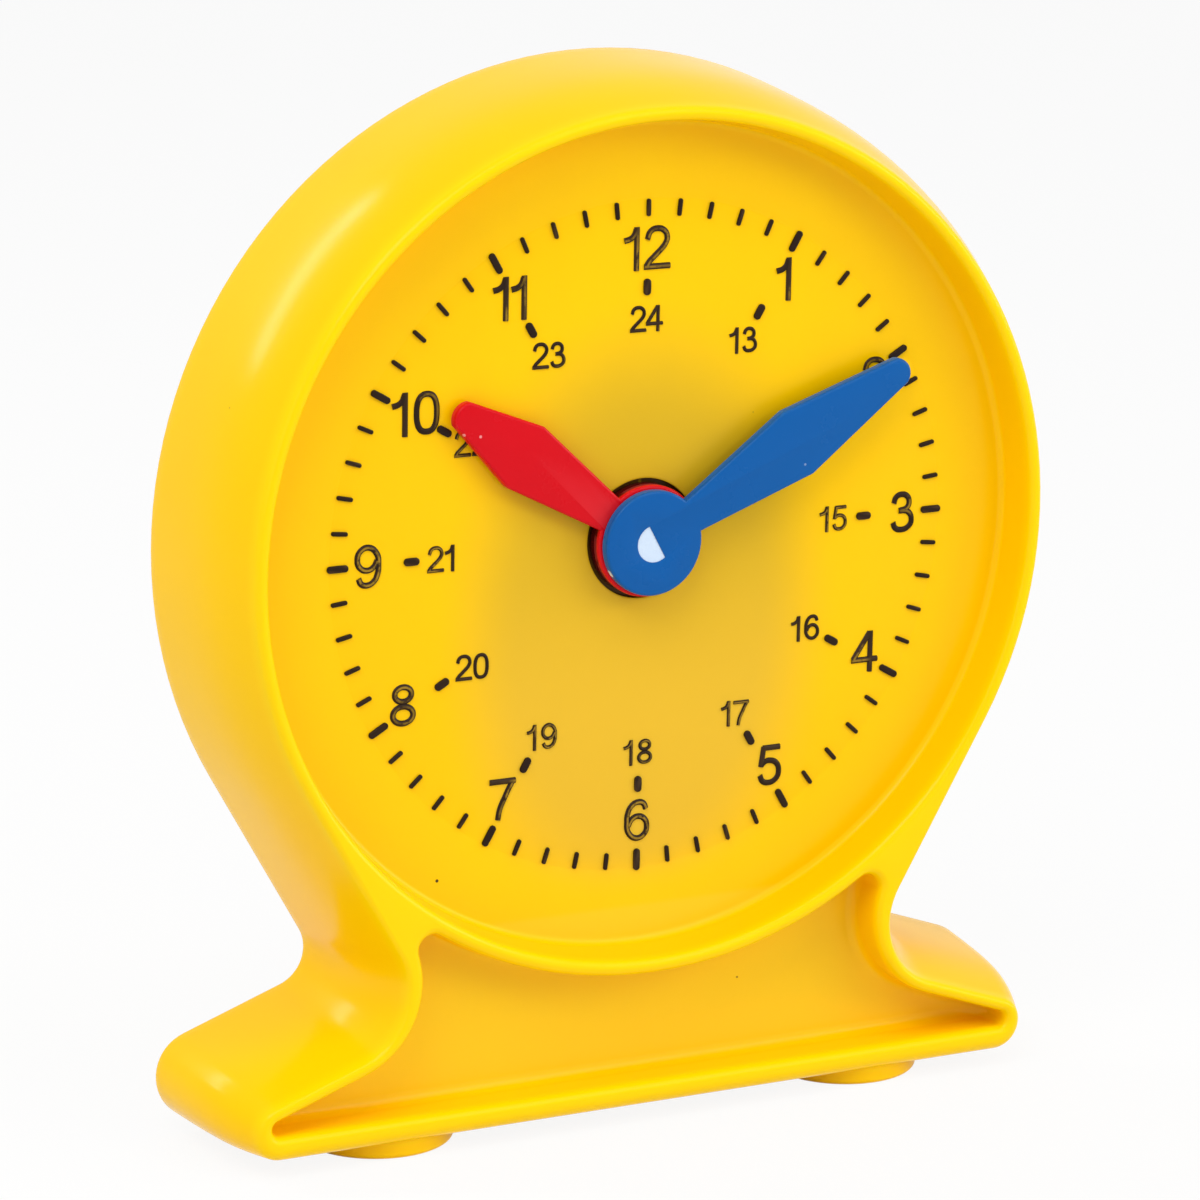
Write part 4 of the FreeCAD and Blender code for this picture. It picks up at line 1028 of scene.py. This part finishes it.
def placeBars(name, node, kind, angles):
    form = markForm[kind]
    master = makeBar(name, form["length"], form["width"])
    copies = []
    for angle in angles:
        turn = math.radians(angle)
        copies.append(copyPiece(master, (
            form["ring"] * math.sin(turn), caseForm["dialDepth"],
            form["ring"] * math.cos(turn)), angle))
    bpy.data.objects.remove(master)
    bars = joinCopies(copies, name)
    mergeAndFace(bars, 0.0001)
    settlePiece(bars, "stand", darkMarks, 50)
    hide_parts(node)


placeBars("minute_bars", "minute_marks", "minute",
          [6 * i for i in range(60) if i == 0 or i % 5])
placeBars("hour_bars", "hour_marks", "hour", [30 * i for i in range(1, 12)])
placeBars("inner_bars", "inner_hour_marks", "inner", [30 * i for i in range(12)])
print("marks ready")


# hands

minuteHandForm = {
    "hub": 7.05, "root": 1.43, "taper": 0.145, "wideAt": 24.3, "tipAt": 41.25,
    "tip": 2.1, "front": 2.75, "thickness": 1.35, "edge": 0.4, "angle": 61.3,
    "boss": 3.3, "bossBack": 5.4, "overlap": 0.7,
    "hole": 2.52, "flat": 0.47, "holeEdge": 0.05,
}
hourHandForm = {
    "hub": 7.5, "root": 1.43, "taper": 0.145, "wideAt": 22.2, "tipAt": 31.8,
    "tip": 2.4, "front": 4.3, "thickness": 1.35, "edge": 0.4, "angle": 305.1,
    "hubBack": 7.1, "hubInset": 0.03, "hubEdge": 0.15, "overlap": 0.7,
    "bossOpening": 3.4, "sleeveOpening": 4.52, "sleeveFront": 5.58,
}


def makeHandPlate(name, form):
    # flat outline of hub and blade, thickened backwards, front edge rounded
    root, taper, hub = form["root"], form["taper"], form["hub"]
    half = root + taper * form["wideAt"]
    # where the blade's side leaves the hub
    a, b, c = 1 + taper ** 2, 2 * root * taper, root ** 2 - hub ** 2
    leave = (-b + math.sqrt(b * b - 4 * a * c)) / (2 * a)
    meet = Vector((root + taper * leave, leave))
    away = math.hypot(half, form["tipAt"] - form["wideAt"])
    turn = (math.asin(form["tip"] / away)
            + math.atan2(half, form["tipAt"] - form["wideAt"]))
    end = Vector((0, form["tipAt"]))
    touch = end + Vector((math.cos(turn), math.sin(turn))) * form["tip"]
    top = end + Vector((0, form["tip"]))
    centre = Vector((0, 0))
    corners = [(meet, None), (Vector((half, form["wideAt"])), None), (touch, end),
               (top, end), (Vector((-touch.x, touch.y)), None),
               (Vector((-half, form["wideAt"])), None),
               (Vector((-meet.x, meet.y)), centre)]
    begin = math.atan2(meet.y, -meet.x)
    sweep = math.tau - (begin - math.atan2(meet.y, meet.x))
    for share in (0.25, 0.5, 0.75):
        angle = begin + sweep * share
        corners.append((Vector((math.cos(angle), math.sin(angle))) * hub, centre))
    plate = drawOutline(name, form["front"] + form["thickness"], corners, 16)
    pickEdges(plate, lambda p, q: True)
    bpy.ops.mesh.edge_face_add()
    bpy.ops.mesh.extrude_region_move(TRANSFORM_OT_translate={
        "value": (0, -form["thickness"], 0)})
    pickEdges(plate, lambda p, q: max(p.y, q.y) < form["front"] + 0.01)
    bpy.ops.mesh.bevel(offset=form["edge"], segments=4, affect="EDGES")
    leaveEdit()
    mergeAndFace(plate)
    return plate


def addDrum(radius, front, back, vertices=128, edge=0.0):
    bpy.ops.mesh.primitive_cylinder_add(
        vertices=vertices, radius=radius, depth=back - front,
        location=(0, (front + back) / 2, 0), rotation=(math.pi / 2, 0, 0))
    drum = bpy.context.object
    makeActive(drum)
    placeInMesh()
    if edge:
        pickEdges(drum, lambda p, q: abs(p.y - q.y) < 0.001)
        bpy.ops.mesh.bevel(offset=edge, segments=3, affect="EDGES")
        leaveEdit()
    return drum


def combine(piece, other, operation):
    # boolean by modifier, applied, and the other piece removed
    makeActive(piece)
    cut = piece.modifiers.new("cut", "BOOLEAN")
    cut.operation = operation
    cut.solver = "EXACT"
    cut.object = other
    bpy.ops.object.modifier_apply(modifier="cut")
    bpy.data.objects.remove(other)
    return piece


def makeMinuteHand():
    form = minuteHandForm
    hand = makeHandPlate("blue_minute_hand", form)
    inBlade = form["front"] + form["thickness"] - form["overlap"]
    combine(hand, addDrum(form["boss"], inBlade, form["bossBack"], 64), "UNION")
    # half-round hole that the end of the arbor shows in
    cutter = addDrum(form["hole"], form["front"] - 1, form["bossBack"] + 1, 96)
    bpy.ops.object.mode_set(mode="EDIT")
    bpy.ops.mesh.select_all(action="SELECT")
    bpy.ops.mesh.bisect(plane_co=(0, 0, form["flat"]), plane_no=(0, 0, 1),
                        use_fill=True, clear_outer=True)
    leaveEdit()
    combine(hand, cutter, "DIFFERENCE")
    pickEdges(hand, lambda p, q: max(p.y, q.y) < form["front"] + 0.001
              and max(math.hypot(p.x, p.z), math.hypot(q.x, q.z)) < form["hole"] + 0.01)
    bpy.ops.mesh.bevel(offset=form["holeEdge"], segments=2, affect="EDGES")
    leaveEdit()
    hand.rotation_euler = (0, math.radians(form["angle"]), 0)
    settlePiece(hand, "minute_group", bluePlastic, 30)
    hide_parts("minute_hand")


def makeHourHand():
    form = hourHandForm
    hand = makeHandPlate("red_hour_hand", form)
    combine(hand, addDrum(form["hub"] - form["hubInset"], form["front"] + form["overlap"],
                          form["hubBack"], 192, form["hubEdge"]), "UNION")
    combine(hand, addDrum(form["bossOpening"], form["front"] - 1,
                          form["sleeveFront"] + 0.12, 64), "DIFFERENCE")
    combine(hand, addDrum(form["sleeveOpening"], form["sleeveFront"],
                          form["hubBack"] + 1, 96), "DIFFERENCE")
    hand.rotation_euler = (0, math.radians(form["angle"]), 0)
    settlePiece(hand, "hour_group", redPlastic, 30)
    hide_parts("hour_hand")


makeMinuteHand()
makeHourHand()
print("hands ready")


screwForm = {
    "shank": 1.3, "head": 2.8, "headHeight": 1.5, "length": 10.0, "edge": 0.07,
    "tipRadius": 0.91, "tipEdge": 0.1, "tipLength": 0.9,
    "slotWide": 0.7, "slotReach": 1.6, "slotDeep": 1.0, "slotTaper": 0.55,
    "turns": [12, 51, 74, 33],
}


def makeScrews():
    # countersunk screws with a cross recess, each left at its own turn
    form, end = screwForm, caseForm["depth"]
    shoulder = end - form["headHeight"]
    tip = end - form["length"]
    edge = form["edge"]
    points = [(0, tip), (form["tipRadius"], tip + form["tipEdge"]),
              (form["shank"], tip + form["tipLength"]), (form["shank"], shoulder),
              (form["head"] - edge, end - edge), (form["head"] - 2 * edge, end), (0, end)]
    master = spinProfile(drawProfile("cover_screw", points), 48)
    mergeAndFace(master)
    for turn in (0, 90):
        bpy.ops.mesh.primitive_cube_add(size=1, location=(0, end, 0))
        slot = bpy.context.object
        makeActive(slot)
        slot.scale = (form["slotReach"] * 2, form["slotDeep"] * 2, form["slotWide"])
        slot.rotation_euler = (0, math.radians(turn), 0)
        placeInMesh()
        pickFaces(slot, lambda middle, normal: normal.y < -0.9)
        share = form["slotTaper"]
        bpy.ops.transform.resize(value=(share, 1, share),
                                 center_override=(0, end - form["slotDeep"], 0))
        leaveEdit()
        combine(master, slot, "DIFFERENCE")
    copies = [copyPiece(master, (x, 0, z), turn)
              for (x, z), turn in zip(bossForm["places"], form["turns"])]
    bpy.data.objects.remove(master)
    screws = joinCopies(copies, "cover_screw_set")
    settlePiece(screws, "stand", zincScrew, 35)
    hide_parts("cover_screws")


makeScrews()
print("screws ready")


# finishes of the CAD nodes that are shown as they are

nodeFinishes = {
    "back_cover": yellowCover, "left_foot": yellowFeet, "right_foot": yellowFeet,
    "hour_wheel": whiteAcetal, "minute_pinion": whiteAcetal,
    "intermediate_gear": whiteAcetal, "spacer_washer": whiteAcetal,
    "minute_arbor": arborEnd, "intermediate_stud": groundSteel,
    "spring_washer": zincScrew,
}
for name, look in nodeFinishes.items():
    for place in nodes[name].material_slots:
        place.material = look
print("CAD nodes finished")


# floor, light and camera

stageForm = {
    "floorColour": (0.82, 0.82, 0.81), "whiteShare": 0.9, "worldLight": 0.45,
    "lamps": [
        {"name": "overheadStrip", "place": (-0.09, -0.32, 0.97), "aim": (0, 0, 0.1),
         "wide": 1.35, "tall": 0.2, "roll": 0, "power": 2.3},
        {"name": "upperLeftBox", "place": (-0.45, -0.42, 0.76), "aim": (0, 0, 0.1),
         "wide": 0.48, "tall": 0.42, "roll": 0, "power": 2.7},
        {"name": "frontBox", "place": (0.50, -0.92, 0.74), "aim": (0, 0, 0.08),
         "wide": 0.5, "tall": 0.5, "roll": 0, "power": 2.1},
        {"name": "rightBox", "place": (0.85, -0.45, 0.30), "aim": (0, 0, 0.08),
         "wide": 0.5, "tall": 0.5, "roll": 0, "power": 3.1},
        {"name": "leftBox", "place": (-0.90, -0.35, 0.35), "aim": (0, 0, 0.08),
         "wide": 0.5, "tall": 0.5, "roll": 0, "power": 0.7},
        {"name": "backLeftStrip", "place": (-0.467, 0.54, 0.567), "aim": (0, 0, 0.1),
         "wide": 0.07, "tall": 0.50, "roll": 37, "power": 1.7},
    ],
}


def seenShare(tree):
    # 1 for rays of the camera and for those that gloss or glass sends on
    ray = addNode(tree, "ShaderNodeLightPath").outputs
    sent = calculate(tree, "MAXIMUM", ray["Is Glossy Ray"], ray["Is Transmission Ray"])
    return calculate(tree, "MAXIMUM", ray["Is Camera Ray"], sent)


def makeFloor():
    bpy.ops.mesh.primitive_plane_add(size=8, location=(0, 0, 0))
    floor = bpy.context.object
    floor.name = "floor"
    look = bpy.data.materials.new("paleFloor")
    look.use_nodes = True
    tree = look.node_tree
    shader = tree.nodes["Principled BSDF"]
    shader.inputs["Roughness"].default_value = 0.7
    place = addNode(tree, "ShaderNodeTexCoord")
    grain = noise(tree, place.outputs["Object"], 40.0, 3.0)
    low = [c * 0.99 for c in stageForm["floorColour"]]
    tone = mixTone(tree, grain, stageForm["floorColour"], low)
    tree.links.new(tone, shader.inputs["Base Color"])
    white = addNode(tree, "ShaderNodeEmission", {"Color": (1, 1, 1), "Strength": 1.0})
    share = multiply(tree, seenShare(tree), stageForm["whiteShare"])
    mix = addNode(tree, "ShaderNodeMixShader", {0: share,
                  1: shader.outputs[0], 2: white.outputs[0]})
    tree.links.new(mix.outputs[0], tree.nodes["Material Output"].inputs["Surface"])
    floor.data.materials.append(look)


def makeWorld():
    world = bpy.data.worlds.new("softRoom")
    bpy.context.scene.world = world
    world.use_nodes = True
    tree = world.node_tree
    room = tree.nodes["Background"]
    room.inputs["Color"].default_value = (1, 1, 1, 1)
    strength = addNode(tree, "ShaderNodeMapRange", {"Value": seenShare(tree),
                       "To Min": stageForm["worldLight"], "To Max": 1.0})
    tree.links.new(strength.outputs[0], room.inputs["Strength"])


def makeLamp(form):
    bpy.ops.object.light_add(type="AREA", location=form["place"])
    lamp = bpy.context.object
    lamp.name = form["name"]
    lamp.data.shape = "RECTANGLE"
    lamp.data.size, lamp.data.size_y = form["wide"], form["tall"]
    lamp.data.energy = form["power"]
    towards = Vector(form["aim"]) - Vector(form["place"])
    roll = Quaternion((0, 0, 1), math.radians(form["roll"]))
    lamp.rotation_euler = (towards.to_track_quat("-Z", "Y") @ roll).to_euler()


cameraForm = {
    "place": (-0.3130979, -0.5942057, 0.2357548),
    "turn": (76.0948155, -0.9529832, -27.3103760), "lens": 156.264,
}


def makeCamera():
    bpy.ops.object.camera_add(location=cameraForm["place"], rotation=[
        math.radians(angle) for angle in cameraForm["turn"]])
    camera = bpy.context.object
    camera.name = "photoCamera"
    camera.data.lens = cameraForm["lens"]
    camera.data.sensor_width = 36
    camera.data.clip_end = 20
    bpy.context.scene.camera = camera


makeFloor()
makeWorld()
for lampForm in stageForm["lamps"]:
    makeLamp(lampForm)
makeCamera()
bpy.context.scene.view_settings.view_transform = "Standard"
print("stage ready")
